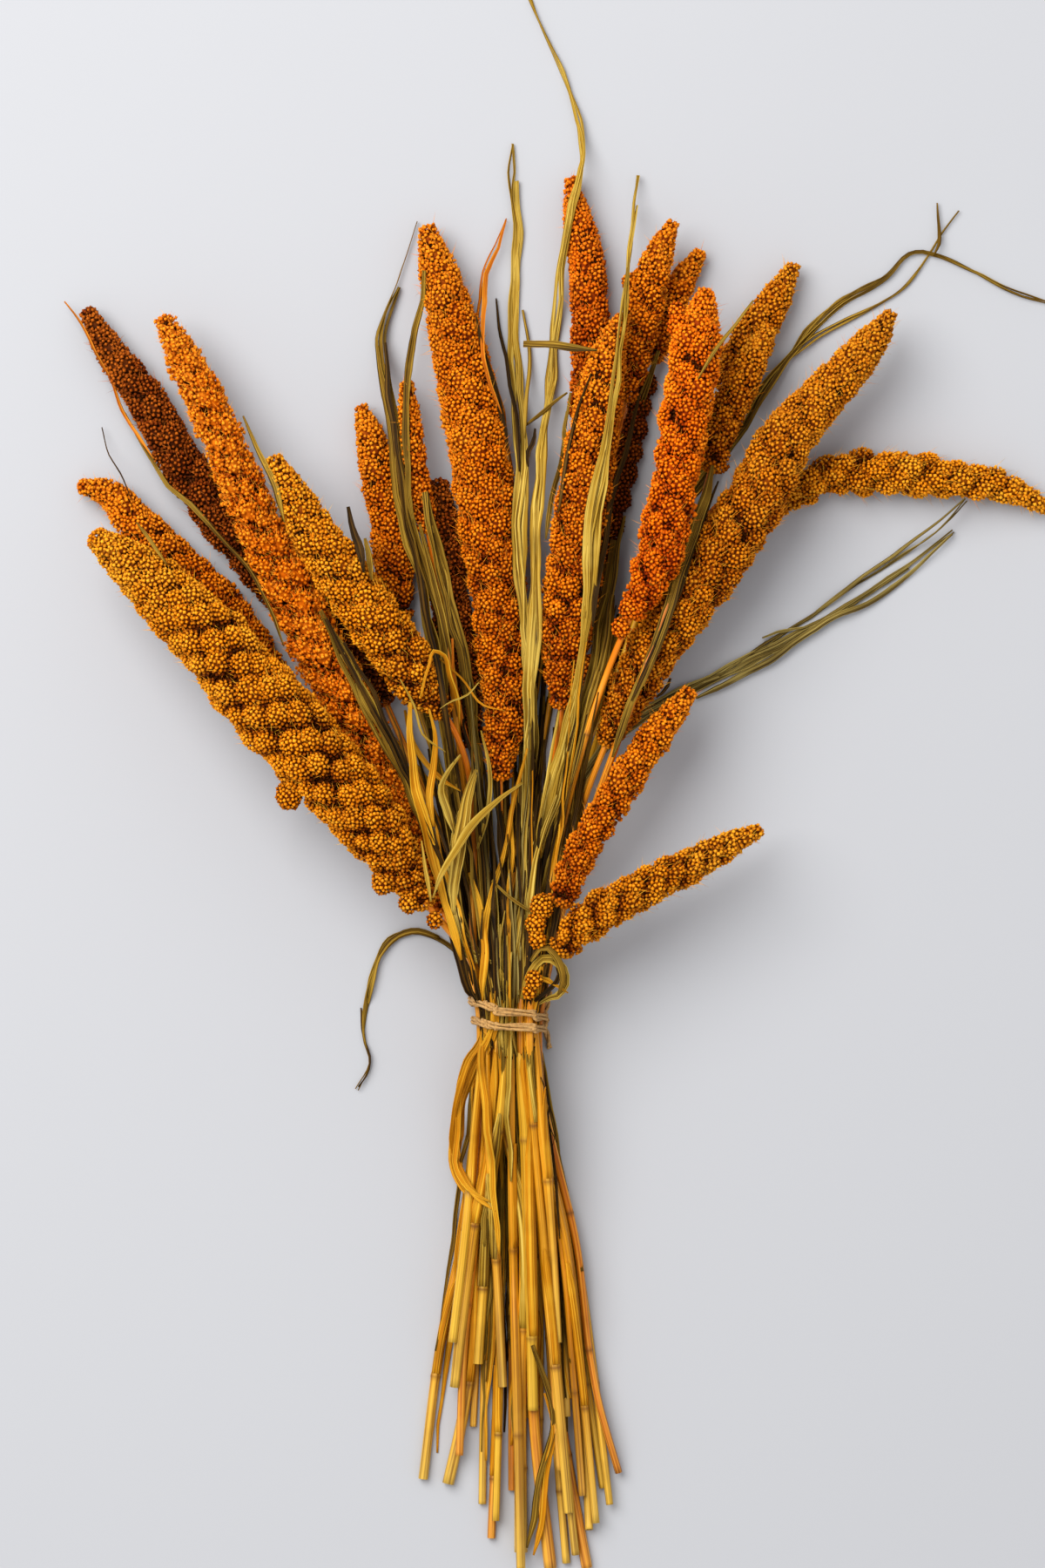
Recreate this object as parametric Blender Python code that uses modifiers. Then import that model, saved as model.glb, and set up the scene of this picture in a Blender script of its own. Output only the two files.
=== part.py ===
"""A bundle of dried foxtail millet, lying on a surface and tied with jute twine.

Every stalk is a lobed seed head on a straw culm. Dry leaf blades run among them, and two
wraps of twine hold everything at the neck. Plan positions are millimetres from the tie:
x to the right, y towards the tips. Heights are not listed: the pieces are laid down one
after another, lowest first, and each one rests on the surface or on what is under it.
"""
import math
import random

import bmesh
import bpy
import numpy as np
from mathutils import Vector

MM = 0.001
WELD = 0.01

# The middle of the tie in the part's own frame, so that the origin is under the middle.
TIE_X = -24.9
TIE_Y = -105.0

# Gaps and easing of the pile, in millimetres
PIECE_GAP = 0.38
PROBE_STEP = 2.0
PROBES_AT_ONCE = 24
HEAD_SLOPE = 0.13
CULM_SLOPE = 0.8
LEAF_SLOPE = 0.8
EASE = 12.0
SOFTENING = 8.0
FLAT_DEPTH = 0.7

# Seed heads
HEAD_FULLNESS = 0.93
LOBE_PITCH = 11.4
LEAST_AROUND = 5
ROW_SHARE = 0.9
LEAST_ROW = 5.6
LOBE_TWIST = 0.5
LOBE_RELIEF = 0.36
LOBE_JITTER = 0.07
HEAD_TIP_RISE = 1.5
HEAD_SEED = 41

# Culms
CULM_TOP_RADIUS = 1.35
CULM_NECK_RADIUS = 1.7
LEAFY_TOP_RADIUS = 2.2
LEAFY_NECK_RADIUS = 2.0
HEAD_TO_CULM_GAP = 0.6
STIFF_PROBES = 6
CULM_TOLERANCE = 0.55

# Leaves
LEAF_THICKNESS = 0.8
LEAF_TOLERANCE = 0.7
LEAF_LONGEST_STEP = 34.0
LEAF_PROBE_STEP = 1.5
LEAF_PROBE_RADIUS = 0.6
LEAF_SHARES = (-1.0, -0.75, -0.5, -0.25, 0.0, 0.25, 0.5, 0.75, 1.0)
LEAF_TIED_WIDTH = 3.4
FOLD_SHARE = 0.12
FOLD_MIDDLE = 0.5
STRAND_BLEND = 12.0
STRAND_ROOT_LEGS = 3

# The tie
TWINE_RADIUS = 1.7
TIE_BAND = 15.0
TIE_HALF_WIDTH = 24.0
NECK_PITCH = 3.95
NECK_ROWS = (4, 6, 7, 7, 6, 5)
ROW_SHIFT = 0.25
FLARE_ABOVE = 1.32
FLARE_HEIGHT = 22.0
LEAST_ROOM_FOR_FLARE = 8.0
RUN_BELOW = -15.0
LEAF_END = 14.0

# Each wrap of twine: its y on the left and on the right, and the knot that joins them
WRAPS = ((9.5, 2.6), (1.0, -2.4))
WRAP_REACH = 5.0
WRAP_POINTS = 26
WRAP_GAP = 0.6
WRAP_LIFT = 0.2
ROOM_UNDER_TIE = 4.3
KNOT_ANGLE = -38.0
KNOT_HALF_SIZE = (2.5, 5.2, 3.2)
KNOT_OUTWARDS = 0.7
KNOT_FLOOR = 0.1
TAIL_RADIUS = 1.3
TAILS = (((2.2, 6.0, -1.2), (3.6, 12.5, -3.2)), ((2.2, -6.0, -1.0), (3.4, -12.5, -3.0)))

# Each head: tip first, base last, as (x, y, radius).
HEADS = {
    "left_dark": [(-185, 311, 3.5), (-175, 294, 7), (-160, 274, 9.5), (-146, 249, 10.5),
                  (-131, 226, 10.5), (-112, 200, 9), (-95, 177, 6.5)],
    "left_hidden": [(-97, 222, 4), (-91, 207, 7), (-80, 192, 8.5), (-70, 177, 8.5), (-55, 142, 5)],
    "left_fluffy": [(-151, 307, 4), (-144, 294, 8.5), (-135, 276, 10), (-118, 238, 11.5),
                    (-101, 200, 13.5), (-82, 162, 14.5), (-59, 116, 13), (-44, 82, 9),
                    (-30, 51, 4.5)],
    "left_slim": [(-187, 235, 3.5), (-176, 232, 6.5), (-163, 218, 9.5), (-148, 203, 10.5),
                  (-134, 190, 11.5), (-119, 173, 10.5), (-104, 154, 7.5)],
    "left_big": [(-179, 211, 5.5), (-167, 202, 10.5), (-148, 185, 15), (-129, 166, 17.5),
                 (-110, 143, 19), (-91, 124, 19), (-72, 101, 17.5), (-57, 83, 15),
                 (-46, 67, 10.5), (-37, 54, 6)],
    "front_yellow": [(-102, 245, 3.5), (-95, 232, 7.5), (-86, 215, 10.5), (-74, 198, 12.5),
                     (-61, 179, 13.5), (-49, 163, 13.5), (-40, 148, 11.5), (-30, 137, 6)],
    "inner_left": [(-65, 269, 3), (-61, 256, 7), (-57, 238, 8.5), (-53, 218, 9), (-51, 200, 9.5),
                   (-49, 180, 7.5)],
    "inner_small": [(-45, 279, 3), (-44, 264, 5.5), (-42, 245, 6), (-36, 218, 5.5)],
    "inner_dark": [(-31, 236, 4), (-28, 211, 8.5), (-27, 188, 9), (-23, 165, 9.5), (-20, 142, 8.5),
                   (-17, 124, 5.5)],
    "centre": [(-36, 347, 4), (-32, 332, 8.5), (-27, 314, 11), (-22, 294, 13), (-15, 256, 14),
               (-8, 211, 14), (-3, 165, 12.5), (-2, 135, 10.5), (-4, 110, 6)],
    "top_red": [(27, 369, 2.5), (30, 352, 7), (34, 332, 8.5), (35, 314, 9), (35, 294, 8.5),
                (32, 268, 6.5)],
    "right_of_centre": [(49, 307, 3.5), (44, 294, 7.5), (40, 276, 10.5), (35, 249, 12),
                        (31, 218, 13.5), (27, 188, 13.5), (24, 162, 11), (23, 141, 6)],
    "upper_right": [(71, 349, 2.5), (66, 338, 6.5), (62, 325, 8.5), (58, 310, 9.5),
                    (54, 291, 8.5), (51, 276, 7)],
    "upper_right_back": [(83, 337, 3), (78, 329, 5.5), (72, 317, 7), (67, 306, 7.5), (62, 294, 7)],
    "vivid": [(85, 317, 4), (82, 302, 10.5), (80, 283, 12), (76, 260, 12), (72, 238, 11),
              (68, 215, 11.5), (63, 198, 10.5), (54, 180, 6.5)],
    "right_back": [(124, 331, 3), (118, 319, 7), (111, 308, 9), (104, 294, 10.5), (98, 281, 10)],
    "right_short": [(113, 302, 3), (106, 289, 7), (100, 277, 8.5), (94, 264, 8.5), (89, 245, 7.5)],
    "right_long": [(166, 309, 3), (160, 300, 7), (152, 290, 9), (137, 274, 11), (122, 256, 13),
                   (108, 230, 14.5), (91, 203, 14.5), (74, 180, 14), (59, 156, 12.5),
                   (48, 135, 9.5), (43, 124, 5.5)],
    "right_dark": [(101, 232, 4), (91, 218, 7.5), (78, 203, 10), (66, 188, 10.5), (55, 165, 10),
                   (46, 142, 7)],
    "right_level": [(236, 226, 3), (222, 233, 6.5), (207, 237, 8.5), (188, 239, 10),
                    (169, 241, 10.5), (150, 241, 10.5), (133, 237, 9), (122, 231, 7.5),
                    (112, 224, 5.5)],
    "low_slim": [(78, 144, 3.5), (68, 131, 7), (57, 116, 8), (46, 99, 8.5), (36, 84, 8.5),
                 (28, 68, 8.5), (23, 55, 6.5)],
    "low_braided": [(108, 84, 3), (97, 79, 6), (84, 72, 8), (70, 65, 8.5), (57, 58, 9.5),
                    (44, 51, 10), (32, 43, 9.5), (23, 34, 6.5)],
}

# Lobe size of the heads whose lobes are coarser or finer than the rest, in millimetres
LOBE_PITCHES = {"left_big": 12.5, "low_braided": 10.5, "right_long": 12.0, "left_fluffy": 12.0}

# The one culm that ends in a leaf: its upper end first, as (x, y).
LEAFY_CULM = [(10, 111), (7, 93), (4, 74), (-1, 51), (-3, 28)]

# Lower ends of the culms from left to right: points from the tie down, with the end's radius.
FEET = [
    ([(-19, -86), (-30, -139), (-38, -201)], 2.1),
    ([(-14, -90), (-19, -165), (-27, -203)], 2.6),
    ([(-14, -86), (-20, -142), (-22, -190)], 1.7),
    ([(-11, -80), (-14, -130), (-16, -178)], 1.5),
    ([(-9, -90), (-11, -150), (-12, -212)], 1.7),
    ([(-6, -86), (-5, -141), (-8, -227)], 1.8),
    ([(-4, -86), (-4, -141), (-6, -219)], 1.6),
    ([(0, -86), (1, -141), (1, -206)], 1.6),
    ([(6, -86), (5, -160), (5, -233)], 2.9),
    ([(10, -86), (10, -130), (9, -174)], 1.5),
    ([(11, -86), (12, -150), (13, -214)], 1.6),
    ([(9, -100), (11, -177), (18, -240)], 2.8),
    ([(15, -86), (19, -150), (22, -196)], 1.6),
    ([(19, -86), (24, -142), (25, -173)], 1.7),
    ([(15, -104), (19, -165), (25, -238)], 1.8),
    ([(18, -100), (22, -165), (29, -234)], 1.7),
    ([(22, -90), (27, -142), (32, -208)], 1.6),
    ([(15, -104), (23, -177), (34, -240)], 2.4),
    ([(26, -100), (31, -145), (35, -223)], 1.8),
    ([(25, -100), (32, -160), (38, -220)], 1.6),
    ([(27, -100), (33, -150), (41, -205)], 1.6),
    ([(29, -98), (36, -145), (44, -212)], 1.6),
    ([(30, -101), (38, -162), (48, -198)], 1.6),
]
LEAFY_FOOT = 8

# Leaves: the blade first, then any strand that branches off it, tip first, as
# (x, y, width). Every blade not in UNTIED_LEAVES runs on through the tie.
LEAVES = {
    "olive_left": [
        [(-41, 352, 1.6), (-51, 317, 4), (-57, 303, 5.5), (-54, 283, 6.5), (-48, 241, 8),
         (-45, 222, 9), (-35, 184, 9), (-29, 142, 8), (-25, 104, 6.5), (-15, 51, 5)]],
    "olive_broken": [
        [(-37, 232, 5), (-30, 200, 6), (-21, 162, 6), (-15, 124, 6), (-13, 104, 5),
         (-10, 66, 4.5)]],
    "straw_tall": [
        [(2, 386, 3), (1, 370, 4), (3, 352, 5), (2, 310, 6.5), (4, 276, 7), (5, 249, 7),
         (4, 211, 8), (7, 169, 6.5), (9, 146, 5.5), (10, 127, 5), (10.1, 111.8, 3.6)]],
    "kinked_tall": [
        [(9, 450, 1.4), (19, 428, 2.2), (27, 408, 3), (32, 376, 4.5), (27, 359, 5), (24, 340, 5),
         (20, 294, 6), (15, 256, 7), (11, 207, 8), (10, 158, 7), (8, 112, 6), (6, 66, 5)]],
    "pale_front": [
        [(57, 372, 2), (52, 332, 2.6), (49, 306, 3.2), (44, 260, 4), (40, 238, 6), (36, 215, 7),
         (34, 184, 5), (32, 165, 3.5), (27, 135, 5), (19, 101, 7), (13, 78, 6), (7, 51, 5)]],
    "olive_right": [
        [(238, 316, 1.4), (222, 321, 2.2), (200, 331, 3), (178, 338, 3.6), (167, 328, 4),
         (144, 315, 5), (120, 289, 6.5), (97, 256, 8), (66, 211, 7), (51, 180, 6), (36, 142, 5),
         (21, 86, 4.5)],
        [(197, 357, 1.4), (190, 346, 2.5), (171, 321, 3), (146, 308, 3.5), (120, 289, 4)]],
    "grey_right": [
        [(195, 216, 1.4), (177, 201, 3), (139, 177, 5), (101, 156, 7), (66, 139, 7),
         (44, 124, 6), (30, 104, 5), (19, 66, 4.5)],
        [(200, 229, 1.2), (193, 220, 1.8), (170, 203, 2.6), (139, 183, 3), (101, 156, 4)]],
    "drooping_left": [
        [(-67, -30, 1.2), (-61, -18, 2), (-64, -6, 3), (-60, 17, 3.6), (-52, 37, 4),
         (-40, 40, 4), (-30, 36, 4), (-22, 29, 4), (-15, 16, 3.6)]],
    "sheath_left": [
        [(-82, 180, 5), (-70, 156, 9), (-59, 133, 11), (-48, 112, 11), (-38, 89, 9.5),
         (-30, 70, 8), (-24, 49, 6)],
        [(-66, 142, 2.5), (-55, 122, 3), (-44, 104, 3.5), (-30, 70, 4)]],
    "thin_orange": [
        [(-1, 353, 1.4), (-10, 334, 3), (-14, 308, 4.5), (-6, 279, 3.5), (0, 249, 3), (2, 205, 3)]],
    "olive_inner": [
        [(66, 294, 3), (61, 279, 6), (55, 264, 7), (48, 245, 7), (42, 218, 6), (40, 180, 6),
         (32, 135, 5), (21, 82, 4.5)]],
    "sheath_right": [
        [(48, 211, 5), (43, 180, 7), (38, 150, 8.5), (34, 135, 9), (30, 116, 9), (27, 97, 9),
         (22, 76, 8), (14, 48, 5.5)]],
    "torn_front": [
        [(-15, 110, 4), (-20, 93, 6), (-23, 74, 6), (-25, 55, 6), (-19, 32, 4.5)]],
    "bent_loop": [
        [(-7, -81, 3), (-13, -78, 3.5), (-19, -73, 4), (-23, -65, 5), (-24, -53, 5),
         (-21, -36, 5), (-17, -22, 4.5)]],
}
UNTIED_LEAVES = ("straw_tall", "thin_orange")
LEAVES_FROM_BELOW = ("bent_loop",)

# Twist of each blade about its own length, in degrees at the tip and at the tie
LEAF_ROLLS = {
    "olive_left": (60, -25), "olive_broken": (10, 35), "straw_tall": (-30, 20),
    "kinked_tall": (40, -30), "pale_front": (55, -35), "olive_right": (-45, 30),
    "grey_right": (25, -20), "drooping_left": (35, -30), "sheath_left": (-15, 25),
    "thin_orange": (70, -20), "olive_inner": (30, -40), "sheath_right": (-35, 25),
    "torn_front": (20, -30), "bent_loop": (15, -25),
}

# The order in which the pieces are laid down, lowest first
LAYING = [
    "drooping_left", "left_dark", "left_slim", "right_level", "right_dark", "right_back",
    "top_red", "inner_dark", "inner_small", "upper_right_back", "olive_right", "grey_right",
    "left_hidden", "inner_left", "olive_broken", "right_long", "left_fluffy", "sheath_left",
    "left_big", "olive_inner", "right_short", "upper_right", "thin_orange", "centre",
    "olive_left", "right_of_centre", "sheath_right", "vivid", "front_yellow", "leafy",
    "straw_tall", "kinked_tall", "low_slim", "pale_front", "low_braided", "torn_front",
    "bent_loop",
]

COLLECTION = bpy.data.collections.new("foxtail_millet_bundle")


def clear_scene():
    for thing in list(bpy.data.objects):
        bpy.data.objects.remove(thing, do_unlink=True)
    bpy.context.scene.collection.children.link(COLLECTION)


def material(name, colour, roughness):
    """A plain Principled material."""
    made = bpy.data.materials.new(name)
    made.use_nodes = True
    shader = made.node_tree.nodes["Principled BSDF"]
    shader.inputs["Base Color"].default_value = (*colour, 1.0)
    shader.inputs["Roughness"].default_value = roughness
    shader.inputs["Metallic"].default_value = 0.0
    made.diffuse_color = (*colour, 1.0)
    return made


def knots_of(points):
    """Distance along a route at each of its points, in plan."""
    span = np.linalg.norm(np.diff(points[:, :2], axis=0), axis=1)
    return np.concatenate([[0.0], np.cumsum(span)])


def smooth_values(knots, values, where):
    """Values read from a smooth curve through the given ones, at the given distances."""
    span = np.diff(knots)[:, None]
    rate = np.diff(values, axis=0) / span
    slope = np.empty_like(values)
    slope[0] = rate[0]
    slope[-1] = rate[-1]
    slope[1:-1] = (rate[:-1] * span[1:] + rate[1:] * span[:-1]) / (span[:-1] + span[1:])
    leg = np.clip(np.searchsorted(knots, where, side="right") - 1, 0, len(span) - 1)
    width = span[leg]
    t = (where - knots[leg])[:, None] / width
    start = (2 * t**3 - 3 * t**2 + 1) * values[leg] + (t**3 - 2 * t**2 + t) * width * slope[leg]
    end = (3 * t**2 - 2 * t**3) * values[leg + 1] + (t**3 - t**2) * width * slope[leg + 1]
    return start + end


def spaced(start, end, step):
    return np.linspace(start, end, max(2, int(round((end - start) / step)) + 1))


def thin_out(points, tolerance):
    """Indices of the points that a polyline needs to stay within the tolerance."""
    keep = [0, len(points) - 1]
    open_runs = [(0, len(points) - 1)]
    while open_runs:
        first, last = open_runs.pop()
        if last - first < 2:
            continue
        chord = points[last] - points[first]
        run = points[first + 1:last] - points[first]
        share = np.clip(run @ chord / max(chord @ chord, 1e-9), 0.0, 1.0)
        off = np.linalg.norm(run - share[:, None] * chord, axis=1)
        worst = int(np.argmax(off))
        if off[worst] > tolerance:
            middle = first + 1 + worst
            keep.append(middle)
            open_runs += [(first, middle), (middle, last)]
    return sorted(keep)


class Pile:
    """What has been laid down so far, as small spheres: x, y, z, radius."""

    def __init__(self):
        self.balls = np.empty((0, 4))

    def add(self, balls):
        self.balls = np.vstack([self.balls, balls])

    def least_height(self, x, y, radius, sink=0.0):
        """Lowest centre height of each sphere that clears the surface and the pile."""
        in_tie = (np.abs(y) < TIE_BAND) & (np.abs(x) < TIE_HALF_WIDTH)
        least = np.where(in_tie, radius + ROOM_UNDER_TIE, radius - sink)
        balls = self.balls
        if not len(balls):
            return least
        for first in range(0, len(x), PROBES_AT_ONCE):
            part = slice(first, first + PROBES_AT_ONCE)
            reach = radius[part].max() + balls[:, 3] + PIECE_GAP
            beside = (balls[:, 0] > x[part].min() - reach) & (balls[:, 0] < x[part].max() + reach)
            beside &= (balls[:, 1] > y[part].min() - reach) & (balls[:, 1] < y[part].max() + reach)
            near = balls[beside]
            if not len(near):
                continue
            across = x[part, None] - near[None, :, 0]
            along = y[part, None] - near[None, :, 1]
            touch = radius[part, None] + near[None, :, 3] + PIECE_GAP
            room = touch**2 - across**2 - along**2
            top = np.where(room > 0, near[None, :, 2] + np.sqrt(np.maximum(room, 0)), 0.0)
            least[part] = np.maximum(least[part], top.max(axis=1))
        return least


def drape(need, at, slopes):
    """A smooth line of heights at or over what is needed, easing down on both sides."""
    give = np.concatenate([[0.0], np.cumsum(np.diff(at) * slopes[1:])])
    fall = np.sqrt((give[:, None] - give[None, :]) ** 2 + EASE**2) - EASE
    height = (need[None, :] - fall).max(axis=1)
    weight = np.exp(-0.5 * ((at[:, None] - at[None, :]) / SOFTENING) ** 2)
    soft = (weight * height[None, :]).sum(axis=1) / weight.sum(axis=1)
    return np.maximum(soft, need)


def between(values, at, step):
    """Values spread evenly over each leg between stations, with the leg of each sample."""
    spread = []
    legs = []
    for leg in range(len(at) - 1):
        count = max(1, int(math.ceil((at[leg + 1] - at[leg]) / step)))
        for i in range(count):
            t = i / count
            spread.append(values[leg] * (1 - t) + values[leg + 1] * t)
            legs.append(leg)
    spread.append(values[-1])
    legs.append(len(at) - 2)
    return np.array(spread), np.array(legs)


def lift_legs(heights, legs, short, last_leg):
    """Raises both stations of each leg by what its samples fall short of clear."""
    worst = np.zeros(len(heights) - 1)
    np.maximum.at(worst, legs, short)
    worst[last_leg + 1:] = 0.0
    heights[:-1] += worst
    heights[1:] += np.maximum(0.0, worst - np.concatenate([worst[1:], [0.0]]))


def lay_stalk(pile, name, place, foot):
    """Stations (x, y, z, radius) of the head and of the culm of one stalk."""
    points, foot_radius = foot
    head = np.array(HEADS.get(name, np.empty((0, 3))), float)
    top = [] if len(head) else LEAFY_CULM
    below = [(place * FLARE_ABOVE, FLARE_HEIGHT), (place, 0.0), (place, RUN_BELOW)] + points
    plan = np.array([tuple(p[:2]) for p in head] + top + below, float)
    knots = knots_of(plan)
    tie_at = knots[len(plan) - len(points) - 2]
    where_head = np.empty(0)
    head_end = 0.0
    if len(head):
        head_end = knots[len(head) - 1]
        where_head = spaced(0.0, head_end, PROBE_STEP)
        head_end += HEAD_TO_CULM_GAP
    where_culm = spaced(head_end, knots[-1], PROBE_STEP)
    top_radius = CULM_TOP_RADIUS if len(head) else LEAFY_TOP_RADIUS
    neck_radius = CULM_NECK_RADIUS if len(head) else LEAFY_NECK_RADIUS
    culm_radius = np.interp(where_culm, [head_end, tie_at, knots[-1]],
                            [top_radius, neck_radius, foot_radius])
    where = np.concatenate([where_head, where_culm])
    line = smooth_values(knots, plan, where)
    radius = culm_radius
    count = len(where_head)
    if count:
        head_radius = smooth_values(knots[:len(head)], head[:, 2:], where_head)[:, 0]
        head_radius *= HEAD_FULLNESS
        radius = np.concatenate([head_radius, culm_radius])
    sink = np.zeros(len(where))
    sink[:count] = FLAT_DEPTH
    need = pile.least_height(line[:, 0], line[:, 1], radius, sink)
    slopes = np.full(len(where), CULM_SLOPE)
    if count:
        slopes[:count + STIFF_PROBES] = HEAD_SLOPE
    height = drape(need, where, slopes)
    dense = np.column_stack([line, height, radius])
    culm_kept = [count + i for i in thin_out(dense[count:, :3], CULM_TOLERANCE)]
    chosen = list(range(count)) + culm_kept
    stations = dense[chosen]
    samples, legs = between(np.column_stack([stations, sink[chosen]]), where[chosen], PROBE_STEP)
    short = pile.least_height(*samples[:, [0, 1, 3, 4]].T) - samples[:, 2]
    lift_legs(stations[:, 2], legs, short, len(chosen))
    samples, legs = between(stations, where[chosen], PROBE_STEP)
    pile.add(samples)
    return stations[:count], stations[count:]


def blade_offsets(plan, widths, rolls):
    """Where the points across a folded blade lie, from its middle: (stations, shares, 3)."""
    run = np.gradient(plan, axis=0)
    run /= np.linalg.norm(run, axis=1)[:, None]
    offsets = np.zeros((len(plan), len(LEAF_SHARES), 3))
    for j, share in enumerate(LEAF_SHARES):
        across = widths / 2 * share
        fold = widths * FOLD_SHARE * (abs(share) - FOLD_MIDDLE)
        sideways = across * np.cos(rolls) - fold * np.sin(rolls)
        offsets[:, j, 0] = -run[:, 1] * sideways
        offsets[:, j, 1] = run[:, 0] * sideways
        offsets[:, j, 2] = across * np.sin(rolls) + fold * np.cos(rolls)
    return offsets


def lay_blade(pile, plan, rolls, root_height=None):
    """Stations (x, y, z, width) of a folded blade, its offsets and its balls."""
    knots = knots_of(plan)
    where = spaced(0.0, knots[-1], LEAF_PROBE_STEP)
    dense = smooth_values(knots, plan, where)
    turn = np.radians(np.interp(where, [0.0, knots[-1]], rolls))
    offsets = blade_offsets(dense[:, :2], dense[:, 2], turn)
    size = np.full(len(where), LEAF_PROBE_RADIUS)
    need = np.zeros(len(where))
    for j in range(len(LEAF_SHARES)):
        spot = dense[:, :2] + offsets[:, j, :2]
        need = np.maximum(need, pile.least_height(spot[:, 0], spot[:, 1], size) - offsets[:, j, 2])
    height = drape(need, where, np.full(len(where), LEAF_SLOPE))
    if root_height is not None:
        height += (root_height - height[-1]) * np.exp((where - where[-1]) / STRAND_BLEND)
    line = np.column_stack([dense[:, :2], height])
    chosen = [0]
    for index in thin_out(line, LEAF_TOLERANCE)[1:]:
        start = chosen[-1]
        pieces = int(math.ceil((where[index] - where[start]) / LEAF_LONGEST_STEP))
        chosen += [start + (index - start) * i // pieces for i in range(1, pieces + 1)]
    stations = np.column_stack([line[chosen], dense[chosen, 2]])
    offsets = blade_offsets(stations[:, :2], stations[:, 3], turn[chosen])
    at = where[chosen]
    last_leg = len(chosen) if root_height is None else len(chosen) - STRAND_ROOT_LEGS
    samples, legs = between(stations[:, None, :3] + offsets, at, LEAF_PROBE_STEP)
    size = np.full(len(samples), LEAF_PROBE_RADIUS)
    short = np.full(len(samples), -1.0)
    for j in range(len(LEAF_SHARES)):
        spot = samples[:, j]
        short = np.maximum(short, pile.least_height(spot[:, 0], spot[:, 1], size) - spot[:, 2])
    lift_legs(stations[:, 2], legs, short, last_leg)
    samples, legs = between(stations[:, None, :3] + offsets, at, LEAF_PROBE_STEP)
    spots = samples.reshape(-1, 3)
    balls = np.column_stack([spots, np.full(len(spots), LEAF_PROBE_RADIUS)])
    return stations, offsets, balls


def leaf_plan(name, place):
    """The plan points of a leaf's main blade, run on through the tie where it is tied."""
    blade = list(LEAVES[name][0])
    if name in UNTIED_LEAVES:
        return np.array(blade, float)
    way = -1.0 if name in LEAVES_FROM_BELOW else 1.0
    if way * blade[-1][1] > FLARE_HEIGHT + LEAST_ROOM_FOR_FLARE:
        blade.append((place * FLARE_ABOVE, way * FLARE_HEIGHT, LEAF_TIED_WIDTH))
    blade.append((place, 0.0, LEAF_TIED_WIDTH))
    blade.append((place, -way * LEAF_END, LEAF_TIED_WIDTH))
    return np.array(blade, float)


def lay_leaf(pile, name, place, top_height):
    """Stations and offsets of each blade of a leaf, the main one first."""
    rolls = LEAF_ROLLS[name]
    root_height = top_height if name == "straw_tall" else None
    main = lay_blade(pile, leaf_plan(name, place), rolls, root_height)
    blades = [main]
    for strand in LEAVES[name][1:]:
        plan = np.array(strand, float)
        nearest = int(np.argmin(np.linalg.norm(main[0][:, :2] - plan[-1, :2], axis=1)))
        plan[-1, :2] = main[0][nearest, :2]
        blades.append(lay_blade(pile, plan, rolls, main[0][nearest, 2]))
    for blade in blades:
        pile.add(blade[2])
    return [(stations, offsets) for stations, offsets, balls in blades]


def fan_position(name):
    """How far to the right a piece lies just above the tie, as an angle."""
    if name in LEAVES_FROM_BELOW:
        return -1.0
    if name == "leafy":
        x, y = LEAFY_CULM[-2]
    else:
        x, y = (HEADS[name] if name in HEADS else LEAVES[name][0])[-1][:2]
    return math.atan2(x, y)


def neck_places():
    """The x of every piece at the tie: rows from the bottom, each sorted by where it fans."""
    tied = [name for name in LAYING if name not in UNTIED_LEAVES]
    places = {}
    first = 0
    for row, count in enumerate(NECK_ROWS):
        group = sorted(tied[first:first + count], key=fan_position)
        shift = ROW_SHIFT if row % 2 else -ROW_SHIFT
        for column, name in enumerate(group):
            places[name] = (column - (len(group) - 1) / 2 + shift) * NECK_PITCH
        first += count
    return places


def feet_for(places):
    """The lower end that each culm takes, in the order that the culms have at the tie."""
    stalks = sorted(HEADS, key=lambda name: (places[name], LAYING.index(name)))
    feet = dict(zip(stalks, FEET[:LEAFY_FOOT] + FEET[LEAFY_FOOT + 1:]))
    feet["leafy"] = FEET[LEAFY_FOOT]
    return feet


def in_frame(point):
    """Millimetres from the tie to metres in the part's frame."""
    return Vector(((point[0] + TIE_X) * MM, (point[1] + TIE_Y) * MM, point[2] * MM))


def add_object(name, data, finish):
    data.materials.append(finish)
    made = bpy.data.objects.new(name, data)
    COLLECTION.objects.link(made)
    return made


def frame_along(line):
    """Forward, sideways and upward unit vectors at each point of a line in space."""
    forward = np.gradient(line, axis=0)
    forward /= np.linalg.norm(forward, axis=1)[:, None]
    side = np.cross((0.0, 0.0, 1.0), forward)
    side /= np.linalg.norm(side, axis=1)[:, None]
    return forward, side, np.cross(forward, side)


def lobe_rows(at, radius, around):
    """Distances from the tip of the rings between rows of lobes."""
    rows = [0.0]
    while rows[-1] < at[-1] - LEAST_ROW:
        local = 2 * math.pi * np.interp(rows[-1], at, radius) / around
        rows.append(rows[-1] + max(LEAST_ROW, ROW_SHARE * local))
    return np.array(rows) * at[-1] / rows[-1]


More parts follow.
